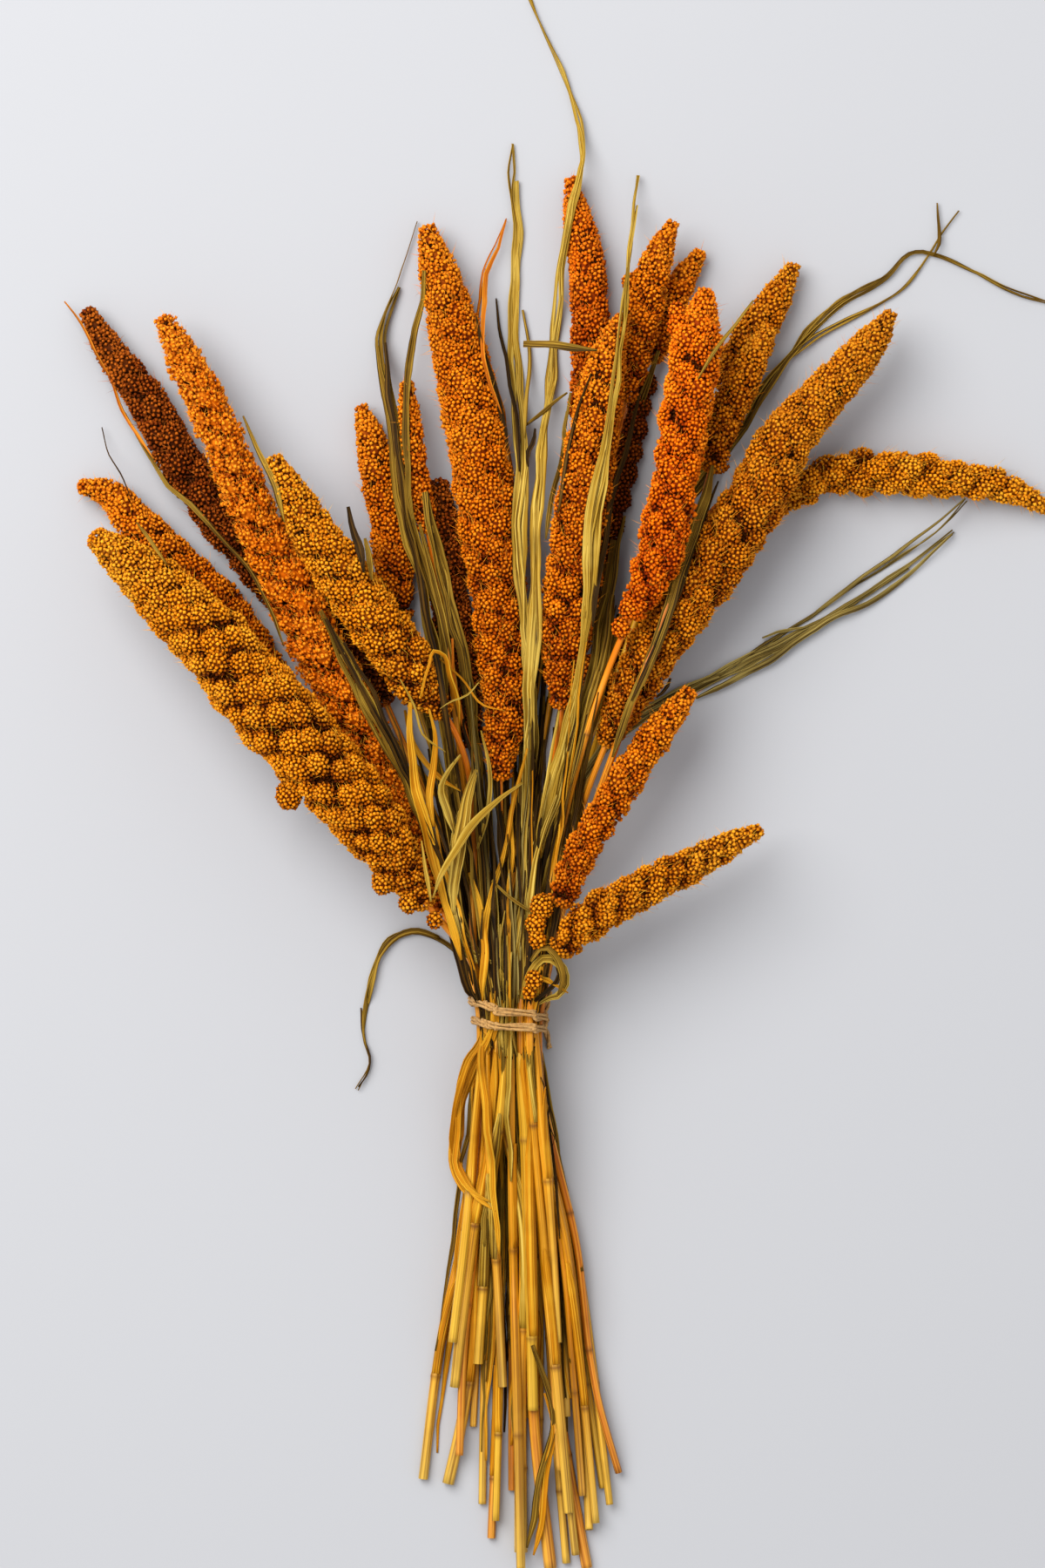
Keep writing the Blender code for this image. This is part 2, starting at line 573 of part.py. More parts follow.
def make_head(name, stations, finish, seed):
    """A seed head: a grid of lobes, each quad poked to a point, wrapped round the spine."""
    draw = random.Random(seed)
    line = stations[:, :3]
    at = np.concatenate([[0.0], np.cumsum(np.linalg.norm(np.diff(line, axis=0), axis=1))])
    pitch = LOBE_PITCHES.get(name, LOBE_PITCH)
    around = max(LEAST_AROUND, int(round(2 * math.pi * stations[:, 3].max() / pitch)))
    rows = lobe_rows(at, stations[:, 3], around)
    count = len(rows) - 1
    forward, side, up = frame_along(line)
    spine = np.column_stack([stations, side, up])
    mesh = bmesh.new()
    bmesh.ops.create_grid(mesh, x_segments=around, y_segments=count, size=0.5)
    valleys = len(mesh.verts)
    bmesh.ops.poke(mesh, faces=mesh.faces[:])
    for index, vert in enumerate(mesh.verts):
        column = (vert.co.x + 0.5) * around
        row = (vert.co.y + 0.5) * count
        s = np.interp(row, range(count + 1), rows)
        here = np.array([np.interp(s, at, spine[:, k]) for k in range(spine.shape[1])])
        reach = here[3]
        if index < valleys:
            reach *= 1.0 - LOBE_RELIEF * 2 * math.pi / around
        else:
            reach *= 1.0 - draw.uniform(0.0, LOBE_JITTER)
        angle = 2 * math.pi * (column + LOBE_TWIST * row) / around
        point = here[:3] + reach * (math.cos(angle) * here[4:7] + math.sin(angle) * here[7:10])
        vert.co = point
    bmesh.ops.remove_doubles(mesh, verts=mesh.verts[:], dist=WELD)
    rims = [edge for edge in mesh.edges if edge.is_boundary]
    caps = bmesh.ops.holes_fill(mesh, edges=rims)["faces"]
    tip = min(caps, key=lambda face: (face.calc_center_median() - Vector(line[0])).length)
    peak = bmesh.ops.poke(mesh, faces=[tip])["verts"][0]
    peak.co = line[0] - forward[0] * HEAD_TIP_RISE
    for vert in mesh.verts:
        vert.co.z = max(vert.co.z, 0.0)
    bmesh.ops.triangulate(mesh, faces=mesh.faces[:])
    bmesh.ops.recalc_face_normals(mesh, faces=mesh.faces[:])
    for vert in mesh.verts:
        vert.co = in_frame(vert.co)
    data = bpy.data.meshes.new(name)
    mesh.to_mesh(data)
    mesh.free()
    return add_object("head_" + name, data, finish)


def make_tube(name, points, radii, finish, cyclic=False):
    """A round rod along a polyline, with filled ends."""
    data = bpy.data.curves.new(name, "CURVE")
    data.dimensions = "3D"
    data.bevel_depth = MM
    data.bevel_resolution = 1
    data.use_fill_caps = True
    spline = data.splines.new("POLY")
    spline.points.add(len(points) - 1)
    for spot, point, radius in zip(spline.points, points, radii):
        spot.co = (*in_frame(point), 1.0)
        spot.radius = radius
    spline.use_cyclic_u = cyclic
    return add_object(name, data, finish)


def blade_object(name, stations, offsets, finish):
    """A folded blade: a two-wide grid bent to the stations, given its thickness."""
    mesh = bmesh.new()
    bmesh.ops.create_grid(mesh, x_segments=2, y_segments=len(stations) - 1, size=0.5)
    for vert in mesh.verts:
        share = int(round((vert.co.x + 0.5) * (len(LEAF_SHARES) - 1)))
        station = int(round((vert.co.y + 0.5) * (len(stations) - 1)))
        vert.co = in_frame(stations[station, :3] + offsets[station, share])
    bmesh.ops.triangulate(mesh, faces=mesh.faces[:])
    data = bpy.data.meshes.new(name)
    mesh.to_mesh(data)
    mesh.free()
    made = add_object(name, data, finish)
    wall = made.modifiers.new("thickness", "SOLIDIFY")
    wall.thickness = LEAF_THICKNESS * MM
    wall.offset = 0.0
    return made


def as_mesh(made):
    """Turns an object into a plain mesh object of the same name, its modifiers applied."""
    graph = bpy.context.evaluated_depsgraph_get()
    data = bpy.data.meshes.new_from_object(made.evaluated_get(graph))
    welded = bmesh.new()
    welded.from_mesh(data)
    bmesh.ops.remove_doubles(welded, verts=welded.verts[:], dist=WELD * MM)
    bmesh.ops.recalc_face_normals(welded, faces=welded.faces[:])
    welded.to_mesh(data)
    welded.free()
    name = made.name
    placed = made.matrix_world.copy()
    bpy.data.objects.remove(made, do_unlink=True)
    plain = bpy.data.objects.new(name, data)
    plain.matrix_world = placed
    COLLECTION.objects.link(plain)
    return plain


def join_as_one(pieces):
    """One body of several that overlap: a union of the first with the rest."""
    solids = [as_mesh(piece) for piece in pieces]
    if len(solids) == 1:
        return solids[0]
    others = bpy.data.collections.new("to_join")
    bpy.context.scene.collection.children.link(others)
    for solid in solids[1:]:
        COLLECTION.objects.unlink(solid)
        others.objects.link(solid)
    union = solids[0].modifiers.new("union", "BOOLEAN")
    union.operation = "UNION"
    union.solver = "MANIFOLD"
    union.operand_type = "COLLECTION"
    union.collection = others
    joined = as_mesh(solids[0])
    for solid in list(others.objects):
        bpy.data.objects.remove(solid, do_unlink=True)
    bpy.data.collections.remove(others)
    return joined


def make_leaf(name, blades, finish):
    pieces = []
    for number, (stations, offsets) in enumerate(blades):
        label = "leaf_" + name if number == 0 else "strand"
        pieces.append(blade_object(label, stations, offsets, finish))
    return join_as_one(pieces)


def wrap_points(pile, left, right):
    """Points round the bundle, one twine radius and a gap outside what the twine holds."""
    points = []
    for i in range(WRAP_POINTS):
        angle = 2 * math.pi * i / WRAP_POINTS
        y = (left + right) / 2 + (right - left) / 2 * math.cos(angle)
        held = pile.balls[np.abs(pile.balls[:, 1] - y) < WRAP_REACH]
        held = held[np.abs(held[:, 0]) < TIE_HALF_WIDTH]
        outward = np.array([math.cos(angle), math.sin(angle)])
        reach = held[:, [0, 2]] @ outward + held[:, 3]
        last = int(np.argmax(reach))
        distance = held[last, 3] + WRAP_GAP + TWINE_RADIUS
        x, z = held[last, [0, 2]] + outward * distance
        points.append((x, y, max(z, TWINE_RADIUS + WRAP_LIFT), angle))
    return points


def make_twine(pile, finish):
    """Two wraps of twine joined by a small knot low on the right, with two cut tails."""
    pieces = []
    knots = []
    for number, (left, right) in enumerate(WRAPS):
        points = wrap_points(pile, left, right)
        label = "twine_tie" if number == 0 else "wrap"
        pieces.append(make_tube(label, [p[:3] for p in points], [TWINE_RADIUS] * len(points),
                                finish, cyclic=True))
        target = math.radians(KNOT_ANGLE) % (2 * math.pi)
        knots.append(min(points, key=lambda p: abs(p[3] - target)))
    turn = math.radians(KNOT_ANGLE)
    outward = np.array([math.cos(turn), 0.0, math.sin(turn)])
    upward = np.array([-math.sin(turn), 0.0, math.cos(turn)])
    along = np.array([0.0, 1.0, 0.0])
    centre = (np.array(knots[0][:3]) + np.array(knots[1][:3])) / 2 + outward * KNOT_OUTWARDS
    bpy.ops.mesh.primitive_ico_sphere_add(subdivisions=1, radius=1.0)
    knot = bpy.context.object
    for vert in knot.data.vertices:
        x, y, z = (vert.co[k] * KNOT_HALF_SIZE[k] for k in range(3))
        point = centre + x * outward + y * along + z * upward
        vert.co = in_frame((point[0], point[1], max(point[2], KNOT_FLOOR)))
    for holder in knot.users_collection:
        holder.objects.unlink(knot)
    COLLECTION.objects.link(knot)
    knot.name = "knot"
    pieces.append(knot)
    for reach in TAILS:
        path = [centre, centre + np.array(reach[0]), centre + np.array(reach[1])]
        path = [(x, y, max(z, TAIL_RADIUS + WRAP_LIFT)) for x, y, z in path]
        pieces.append(make_tube("tail", path, [TAIL_RADIUS] * len(path), finish))
    return join_as_one(pieces)


def build():
    clear_scene()
    amber = material("millet_orange", (0.62, 0.22, 0.025), 0.85)
    straw = material("culm_straw", (0.68, 0.38, 0.09), 0.55)
    olive = material("leaf_olive", (0.33, 0.25, 0.09), 0.7)
    jute = material("twine_jute", (0.55, 0.38, 0.2), 0.9)
    pile = Pile()
    places = neck_places()
    feet = feet_for(places)
    top_height = 0.0
    for number, name in enumerate(LAYING):
        if name in LEAVES:
            blades = lay_leaf(pile, name, places.get(name, 0.0), top_height)
            make_leaf(name, blades, olive)
            continue
        head, culm = lay_stalk(pile, name, places[name], feet[name])
        if len(head):
            make_head(name, head, amber, HEAD_SEED + number)
        else:
            top_height = culm[0, 2]
        make_tube("culm_" + name, culm[:, :3], culm[:, 3], straw)
    make_twine(pile, jute)


build()
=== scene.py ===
"""The looks of a bundle of dried foxtail millet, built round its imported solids.

The routes, and the rule by which the pieces are laid down one on another, are those of the
solids, so every finer piece lands on the solid that it stands for.
"""
import math

import bpy
import numpy as np
from bpy.props import FloatProperty, FloatVectorProperty, PointerProperty
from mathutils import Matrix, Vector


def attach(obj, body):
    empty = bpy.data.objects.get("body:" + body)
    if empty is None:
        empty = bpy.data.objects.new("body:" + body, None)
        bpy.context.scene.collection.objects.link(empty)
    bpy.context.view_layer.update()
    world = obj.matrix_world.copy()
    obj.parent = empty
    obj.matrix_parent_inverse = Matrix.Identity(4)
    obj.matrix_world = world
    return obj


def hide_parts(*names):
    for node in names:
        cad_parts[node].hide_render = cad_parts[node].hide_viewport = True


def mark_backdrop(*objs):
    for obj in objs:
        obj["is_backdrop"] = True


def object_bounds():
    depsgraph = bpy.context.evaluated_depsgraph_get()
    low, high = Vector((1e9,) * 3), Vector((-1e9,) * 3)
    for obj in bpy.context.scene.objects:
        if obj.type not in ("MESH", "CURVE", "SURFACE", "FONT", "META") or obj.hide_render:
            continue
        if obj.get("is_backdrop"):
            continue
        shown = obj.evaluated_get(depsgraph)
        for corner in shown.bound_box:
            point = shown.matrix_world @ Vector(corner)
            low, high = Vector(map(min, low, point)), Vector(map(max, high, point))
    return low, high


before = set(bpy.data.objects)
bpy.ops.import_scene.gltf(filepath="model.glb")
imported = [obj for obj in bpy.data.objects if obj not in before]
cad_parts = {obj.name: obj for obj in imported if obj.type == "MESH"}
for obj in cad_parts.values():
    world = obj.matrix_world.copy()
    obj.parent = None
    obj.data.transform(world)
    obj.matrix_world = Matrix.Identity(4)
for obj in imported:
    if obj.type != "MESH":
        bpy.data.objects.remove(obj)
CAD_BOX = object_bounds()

bl_info = {
    "name": "Foxtail millet bundle",
    "version": (1, 0, 0),
    "blender": (4, 5, 0),
    "location": "View3D > Sidebar > Millet",
    "description": "Builds the seed heads, culms, leaves and twine of a dried millet bundle",
    "category": "Add Mesh",
}

MM = 0.001

# The middle of the tie in the part's own frame, so that the origin is under the middle.
TIE_X = -24.9
TIE_Y = -105.0

# Gaps and easing of the pile, in millimetres
PIECE_GAP = 0.38
PROBE_STEP = 2.0
PROBES_AT_ONCE = 24
HEAD_SLOPE = 0.13
CULM_SLOPE = 0.8
LEAF_SLOPE = 0.8
EASE = 12.0
SOFTENING = 8.0
FLAT_DEPTH = 0.7

# Seed heads
HEAD_FULLNESS = 0.93
LOBE_PITCH = 11.4
LEAST_AROUND = 5
ROW_SHARE = 0.9
LEAST_ROW = 5.6
LOBE_TWIST = 0.5
LOBE_RELIEF = 0.36
HEAD_SEED = 41

# Culms
CULM_TOP_RADIUS = 1.35
CULM_NECK_RADIUS = 1.7
LEAFY_TOP_RADIUS = 2.2
LEAFY_NECK_RADIUS = 2.0
HEAD_TO_CULM_GAP = 0.6
STIFF_PROBES = 6
CULM_TOLERANCE = 0.55

# Leaves
LEAF_TOLERANCE = 0.7
LEAF_LONGEST_STEP = 34.0
LEAF_PROBE_STEP = 1.5
LEAF_PROBE_RADIUS = 0.6
LEAF_SHARES = (-1.0, -0.75, -0.5, -0.25, 0.0, 0.25, 0.5, 0.75, 1.0)
LEAF_TIED_WIDTH = 3.4
FOLD_SHARE = 0.12
FOLD_MIDDLE = 0.5
STRAND_BLEND = 12.0
STRAND_ROOT_LEGS = 3

# The tie
TWINE_RADIUS = 1.7
TIE_BAND = 15.0
TIE_HALF_WIDTH = 24.0
NECK_PITCH = 3.95
NECK_ROWS = (4, 6, 7, 7, 6, 5)
ROW_SHIFT = 0.25
FLARE_ABOVE = 1.32
FLARE_HEIGHT = 22.0
LEAST_ROOM_FOR_FLARE = 8.0
RUN_BELOW = -15.0
LEAF_END = 14.0

# Each wrap of twine: its y on the left and on the right
WRAPS = ((9.5, 2.6), (1.0, -2.4))
WRAP_REACH = 5.0
WRAP_POINTS = 26
WRAP_GAP = 0.6
WRAP_LIFT = 0.2
ROOM_UNDER_TIE = 4.3
KNOT_ANGLE = -38.0
KNOT_OUTWARDS = 0.7
TAIL_RADIUS = 1.3
# The middle and the end of each tail, from the knot
TAILS = (((2.2, 6.0, -1.2), (3.6, 12.5, -3.2)), ((2.2, -6.0, -1.0), (3.4, -12.5, -3.0)))

# Each head: tip first, base last, as (x, y, radius).
HEADS = {
    "left_dark": [(-185, 311, 3.5), (-175, 294, 7), (-160, 274, 9.5), (-146, 249, 10.5),
                  (-131, 226, 10.5), (-112, 200, 9), (-95, 177, 6.5)],
    "left_hidden": [(-97, 222, 4), (-91, 207, 7), (-80, 192, 8.5), (-70, 177, 8.5), (-55, 142, 5)],
    "left_fluffy": [(-151, 307, 4), (-144, 294, 8.5), (-135, 276, 10), (-118, 238, 11.5),
                    (-101, 200, 13.5), (-82, 162, 14.5), (-59, 116, 13), (-44, 82, 9),
                    (-30, 51, 4.5)],
    "left_slim": [(-187, 235, 3.5), (-176, 232, 6.5), (-163, 218, 9.5), (-148, 203, 10.5),
                  (-134, 190, 11.5), (-119, 173, 10.5), (-104, 154, 7.5)],
    "left_big": [(-179, 211, 5.5), (-167, 202, 10.5), (-148, 185, 15), (-129, 166, 17.5),
                 (-110, 143, 19), (-91, 124, 19), (-72, 101, 17.5), (-57, 83, 15),
                 (-46, 67, 10.5), (-37, 54, 6)],
    "front_yellow": [(-102, 245, 3.5), (-95, 232, 7.5), (-86, 215, 10.5), (-74, 198, 12.5),
                     (-61, 179, 13.5), (-49, 163, 13.5), (-40, 148, 11.5), (-30, 137, 6)],
    "inner_left": [(-65, 269, 3), (-61, 256, 7), (-57, 238, 8.5), (-53, 218, 9), (-51, 200, 9.5),
                   (-49, 180, 7.5)],
    "inner_small": [(-45, 279, 3), (-44, 264, 5.5), (-42, 245, 6), (-36, 218, 5.5)],
    "inner_dark": [(-31, 236, 4), (-28, 211, 8.5), (-27, 188, 9), (-23, 165, 9.5), (-20, 142, 8.5),
                   (-17, 124, 5.5)],
    "centre": [(-36, 347, 4), (-32, 332, 8.5), (-27, 314, 11), (-22, 294, 13), (-15, 256, 14),
               (-8, 211, 14), (-3, 165, 12.5), (-2, 135, 10.5), (-4, 110, 6)],
    "top_red": [(27, 369, 2.5), (30, 352, 7), (34, 332, 8.5), (35, 314, 9), (35, 294, 8.5),
                (32, 268, 6.5)],
    "right_of_centre": [(49, 307, 3.5), (44, 294, 7.5), (40, 276, 10.5), (35, 249, 12),
                        (31, 218, 13.5), (27, 188, 13.5), (24, 162, 11), (23, 141, 6)],
    "upper_right": [(71, 349, 2.5), (66, 338, 6.5), (62, 325, 8.5), (58, 310, 9.5),
                    (54, 291, 8.5), (51, 276, 7)],
    "upper_right_back": [(83, 337, 3), (78, 329, 5.5), (72, 317, 7), (67, 306, 7.5), (62, 294, 7)],
    "vivid": [(85, 317, 4), (82, 302, 10.5), (80, 283, 12), (76, 260, 12), (72, 238, 11),
              (68, 215, 11.5), (63, 198, 10.5), (54, 180, 6.5)],
    "right_back": [(124, 331, 3), (118, 319, 7), (111, 308, 9), (104, 294, 10.5), (98, 281, 10)],
    "right_short": [(113, 302, 3), (106, 289, 7), (100, 277, 8.5), (94, 264, 8.5), (89, 245, 7.5)],
    "right_long": [(166, 309, 3), (160, 300, 7), (152, 290, 9), (137, 274, 11), (122, 256, 13),
                   (108, 230, 14.5), (91, 203, 14.5), (74, 180, 14), (59, 156, 12.5),
                   (48, 135, 9.5), (43, 124, 5.5)],
    "right_dark": [(101, 232, 4), (91, 218, 7.5), (78, 203, 10), (66, 188, 10.5), (55, 165, 10),
                   (46, 142, 7)],
    "right_level": [(236, 226, 3), (222, 233, 6.5), (207, 237, 8.5), (188, 239, 10),
                    (169, 241, 10.5), (150, 241, 10.5), (133, 237, 9), (122, 231, 7.5),
                    (112, 224, 5.5)],
    "low_slim": [(78, 144, 3.5), (68, 131, 7), (57, 116, 8), (46, 99, 8.5), (36, 84, 8.5),
                 (28, 68, 8.5), (23, 55, 6.5)],
    "low_braided": [(108, 84, 3), (97, 79, 6), (84, 72, 8), (70, 65, 8.5), (57, 58, 9.5),
                    (44, 51, 10), (32, 43, 9.5), (23, 34, 6.5)],
}

# Lobe size of the heads whose lobes are coarser or finer than the rest, in millimetres
LOBE_PITCHES = {"left_big": 12.5, "low_braided": 10.5, "right_long": 12.0, "left_fluffy": 12.0}

# The one culm that ends in a leaf: its upper end first, as (x, y).
LEAFY_CULM = [(10, 111), (7, 93), (4, 74), (-1, 51), (-3, 28)]

# Lower ends of the culms from left to right: points from the tie down, with the end's radius.
FEET = [
    ([(-19, -86), (-30, -139), (-38, -201)], 2.1),
    ([(-14, -90), (-19, -165), (-27, -203)], 2.6),
    ([(-14, -86), (-20, -142), (-22, -190)], 1.7),
    ([(-11, -80), (-14, -130), (-16, -178)], 1.5),
    ([(-9, -90), (-11, -150), (-12, -212)], 1.7),
    ([(-6, -86), (-5, -141), (-8, -227)], 1.8),
    ([(-4, -86), (-4, -141), (-6, -219)], 1.6),
    ([(0, -86), (1, -141), (1, -206)], 1.6),
    ([(6, -86), (5, -160), (5, -233)], 2.9),
    ([(10, -86), (10, -130), (9, -174)], 1.5),
    ([(11, -86), (12, -150), (13, -214)], 1.6),
    ([(9, -100), (11, -177), (18, -240)], 2.8),
    ([(15, -86), (19, -150), (22, -196)], 1.6),
    ([(19, -86), (24, -142), (25, -173)], 1.7),
    ([(15, -104), (19, -165), (25, -238)], 1.8),
    ([(18, -100), (22, -165), (29, -234)], 1.7),
    ([(22, -90), (27, -142), (32, -208)], 1.6),
    ([(15, -104), (23, -177), (34, -240)], 2.4),
    ([(26, -100), (31, -145), (35, -223)], 1.8),
    ([(25, -100), (32, -160), (38, -220)], 1.6),
    ([(27, -100), (33, -150), (41, -205)], 1.6),
    ([(29, -98), (36, -145), (44, -212)], 1.6),
    ([(30, -101), (38, -162), (48, -198)], 1.6),
]
LEAFY_FOOT = 8

# Leaves: the blade first, then any strand that branches off it, tip first, as
# (x, y, width). Every blade not in UNTIED_LEAVES runs on through the tie.
LEAVES = {
    "olive_left": [
        [(-41, 352, 1.6), (-51, 317, 4), (-57, 303, 5.5), (-54, 283, 6.5), (-48, 241, 8),
         (-45, 222, 9), (-35, 184, 9), (-29, 142, 8), (-25, 104, 6.5), (-15, 51, 5)]],
    "olive_broken": [
        [(-37, 232, 5), (-30, 200, 6), (-21, 162, 6), (-15, 124, 6), (-13, 104, 5),
         (-10, 66, 4.5)]],
    "straw_tall": [
        [(2, 386, 3), (1, 370, 4), (3, 352, 5), (2, 310, 6.5), (4, 276, 7), (5, 249, 7),
         (4, 211, 8), (7, 169, 6.5), (9, 146, 5.5), (10, 127, 5), (10.1, 111.8, 3.6)]],
    "kinked_tall": [
        [(9, 450, 1.4), (19, 428, 2.2), (27, 408, 3), (32, 376, 4.5), (27, 359, 5), (24, 340, 5),
         (20, 294, 6), (15, 256, 7), (11, 207, 8), (10, 158, 7), (8, 112, 6), (6, 66, 5)]],
    "pale_front": [
        [(57, 372, 2), (52, 332, 2.6), (49, 306, 3.2), (44, 260, 4), (40, 238, 6), (36, 215, 7),
         (34, 184, 5), (32, 165, 3.5), (27, 135, 5), (19, 101, 7), (13, 78, 6), (7, 51, 5)]],
    "olive_right": [
        [(238, 316, 1.4), (222, 321, 2.2), (200, 331, 3), (178, 338, 3.6), (167, 328, 4),
         (144, 315, 5), (120, 289, 6.5), (97, 256, 8), (66, 211, 7), (51, 180, 6), (36, 142, 5),
         (21, 86, 4.5)],
        [(197, 357, 1.4), (190, 346, 2.5), (171, 321, 3), (146, 308, 3.5), (120, 289, 4)]],
    "grey_right": [
        [(195, 216, 1.4), (177, 201, 3), (139, 177, 5), (101, 156, 7), (66, 139, 7),
         (44, 124, 6), (30, 104, 5), (19, 66, 4.5)],
        [(200, 229, 1.2), (193, 220, 1.8), (170, 203, 2.6), (139, 183, 3), (101, 156, 4)]],
    "drooping_left": [
        [(-67, -30, 1.2), (-61, -18, 2), (-64, -6, 3), (-60, 17, 3.6), (-52, 37, 4),
         (-40, 40, 4), (-30, 36, 4), (-22, 29, 4), (-15, 16, 3.6)]],
    "sheath_left": [
        [(-82, 180, 5), (-70, 156, 9), (-59, 133, 11), (-48, 112, 11), (-38, 89, 9.5),
         (-30, 70, 8), (-24, 49, 6)],
        [(-66, 142, 2.5), (-55, 122, 3), (-44, 104, 3.5), (-30, 70, 4)]],
    "thin_orange": [
        [(-1, 353, 1.4), (-10, 334, 3), (-14, 308, 4.5), (-6, 279, 3.5), (0, 249, 3), (2, 205, 3)]],
    "olive_inner": [
        [(66, 294, 3), (61, 279, 6), (55, 264, 7), (48, 245, 7), (42, 218, 6), (40, 180, 6),
         (32, 135, 5), (21, 82, 4.5)]],
    "sheath_right": [
        [(48, 211, 5), (43, 180, 7), (38, 150, 8.5), (34, 135, 9), (30, 116, 9), (27, 97, 9),
         (22, 76, 8), (14, 48, 5.5)]],
    "torn_front": [
        [(-15, 110, 4), (-20, 93, 6), (-23, 74, 6), (-25, 55, 6), (-19, 32, 4.5)]],
    "bent_loop": [
        [(-7, -81, 3), (-13, -78, 3.5), (-19, -73, 4), (-23, -65, 5), (-24, -53, 5),
         (-21, -36, 5), (-17, -22, 4.5)]],
}
UNTIED_LEAVES = ("straw_tall", "thin_orange")
LEAVES_FROM_BELOW = ("bent_loop",)

# Twist of each blade about its own length, in degrees at the tip and at the tie
LEAF_ROLLS = {
    "olive_left": (60, -25), "olive_broken": (10, 35), "straw_tall": (-30, 20),
    "kinked_tall": (40, -30), "pale_front": (55, -35), "olive_right": (-45, 30),
    "grey_right": (25, -20), "drooping_left": (35, -30), "sheath_left": (-15, 25),
    "thin_orange": (70, -20), "olive_inner": (30, -40), "sheath_right": (-35, 25),
    "torn_front": (20, -30), "bent_loop": (15, -25),
}

# The order in which the pieces are laid down, lowest first
LAYING = [
    "drooping_left", "left_dark", "left_slim", "right_level", "right_dark", "right_back",
    "top_red", "inner_dark", "inner_small", "upper_right_back", "olive_right", "grey_right",
    "left_hidden", "inner_left", "olive_broken", "right_long", "left_fluffy", "sheath_left",
    "left_big", "olive_inner", "right_short", "upper_right", "thin_orange", "centre",
    "olive_left", "right_of_centre", "sheath_right", "vivid", "front_yellow", "leafy",
    "straw_tall", "kinked_tall", "low_slim", "pale_front", "low_braided", "torn_front",
    "bent_loop",
]


def knots_of(points):
    """Distance along a route at each of its points, in plan."""
    span = np.linalg.norm(np.diff(points[:, :2], axis=0), axis=1)
    return np.concatenate([[0.0], np.cumsum(span)])


def smooth_values(knots, values, where):
    """Values read from a smooth curve through the given ones, at the given distances."""
    span = np.diff(knots)[:, None]
    rate = np.diff(values, axis=0) / span
    slope = np.empty_like(values)
    slope[0] = rate[0]
    slope[-1] = rate[-1]
    slope[1:-1] = (rate[:-1] * span[1:] + rate[1:] * span[:-1]) / (span[:-1] + span[1:])
    leg = np.clip(np.searchsorted(knots, where, side="right") - 1, 0, len(span) - 1)
    width = span[leg]
    t = (where - knots[leg])[:, None] / width
    start = (2 * t**3 - 3 * t**2 + 1) * values[leg] + (t**3 - 2 * t**2 + t) * width * slope[leg]
    end = (3 * t**2 - 2 * t**3) * values[leg + 1] + (t**3 - t**2) * width * slope[leg + 1]
    return start + end


def spaced(start, end, step):
    return np.linspace(start, end, max(2, int(round((end - start) / step)) + 1))


def thin_out(points, tolerance):
    """Indices of the points that a polyline needs to stay within the tolerance."""
    keep = [0, len(points) - 1]
    open_runs = [(0, len(points) - 1)]
    while open_runs:
        first, last = open_runs.pop()
        if last - first < 2:
            continue
        chord = points[last] - points[first]
        run = points[first + 1:last] - points[first]
        share = np.clip(run @ chord / max(chord @ chord, 1e-9), 0.0, 1.0)
        off = np.linalg.norm(run - share[:, None] * chord, axis=1)
        worst = int(np.argmax(off))
        if off[worst] > tolerance:
            middle = first + 1 + worst
            keep.append(middle)
            open_runs += [(first, middle), (middle, last)]
    return sorted(keep)


class Pile:
    """What has been laid down so far, as small spheres: x, y, z, radius."""

    def __init__(self):
        self.balls = np.empty((0, 4))

    def add(self, balls):
        self.balls = np.vstack([self.balls, balls])

    def least_height(self, x, y, radius, sink=0.0):
        """Lowest centre height of each sphere that clears the surface and the pile."""
        in_tie = (np.abs(y) < TIE_BAND) & (np.abs(x) < TIE_HALF_WIDTH)
        least = np.where(in_tie, radius + ROOM_UNDER_TIE, radius - sink)
        balls = self.balls
        if not len(balls):
            return least
        for first in range(0, len(x), PROBES_AT_ONCE):
            part = slice(first, first + PROBES_AT_ONCE)
            reach = radius[part].max() + balls[:, 3] + PIECE_GAP
            beside = (balls[:, 0] > x[part].min() - reach) & (balls[:, 0] < x[part].max() + reach)
            beside &= (balls[:, 1] > y[part].min() - reach) & (balls[:, 1] < y[part].max() + reach)
            near = balls[beside]
            if not len(near):
                continue
            across = x[part, None] - near[None, :, 0]
            along = y[part, None] - near[None, :, 1]
            touch = radius[part, None] + near[None, :, 3] + PIECE_GAP
            room = touch**2 - across**2 - along**2
            top = np.where(room > 0, near[None, :, 2] + np.sqrt(np.maximum(room, 0)), 0.0)
            least[part] = np.maximum(least[part], top.max(axis=1))
        return least


def drape(need, at, slopes):
    """A smooth line of heights at or over what is needed, easing down on both sides."""
    give = np.concatenate([[0.0], np.cumsum(np.diff(at) * slopes[1:])])
    fall = np.sqrt((give[:, None] - give[None, :]) ** 2 + EASE**2) - EASE
    height = (need[None, :] - fall).max(axis=1)
    weight = np.exp(-0.5 * ((at[:, None] - at[None, :]) / SOFTENING) ** 2)
    soft = (weight * height[None, :]).sum(axis=1) / weight.sum(axis=1)
    return np.maximum(soft, need)


def between(values, at, step):
    """Values spread evenly over each leg between stations, with the leg of each sample."""
    spread = []
    legs = []
    for leg in range(len(at) - 1):
        count = max(1, int(math.ceil((at[leg + 1] - at[leg]) / step)))
        for i in range(count):
            t = i / count
            spread.append(values[leg] * (1 - t) + values[leg + 1] * t)
            legs.append(leg)
    spread.append(values[-1])
    legs.append(len(at) - 2)
    return np.array(spread), np.array(legs)


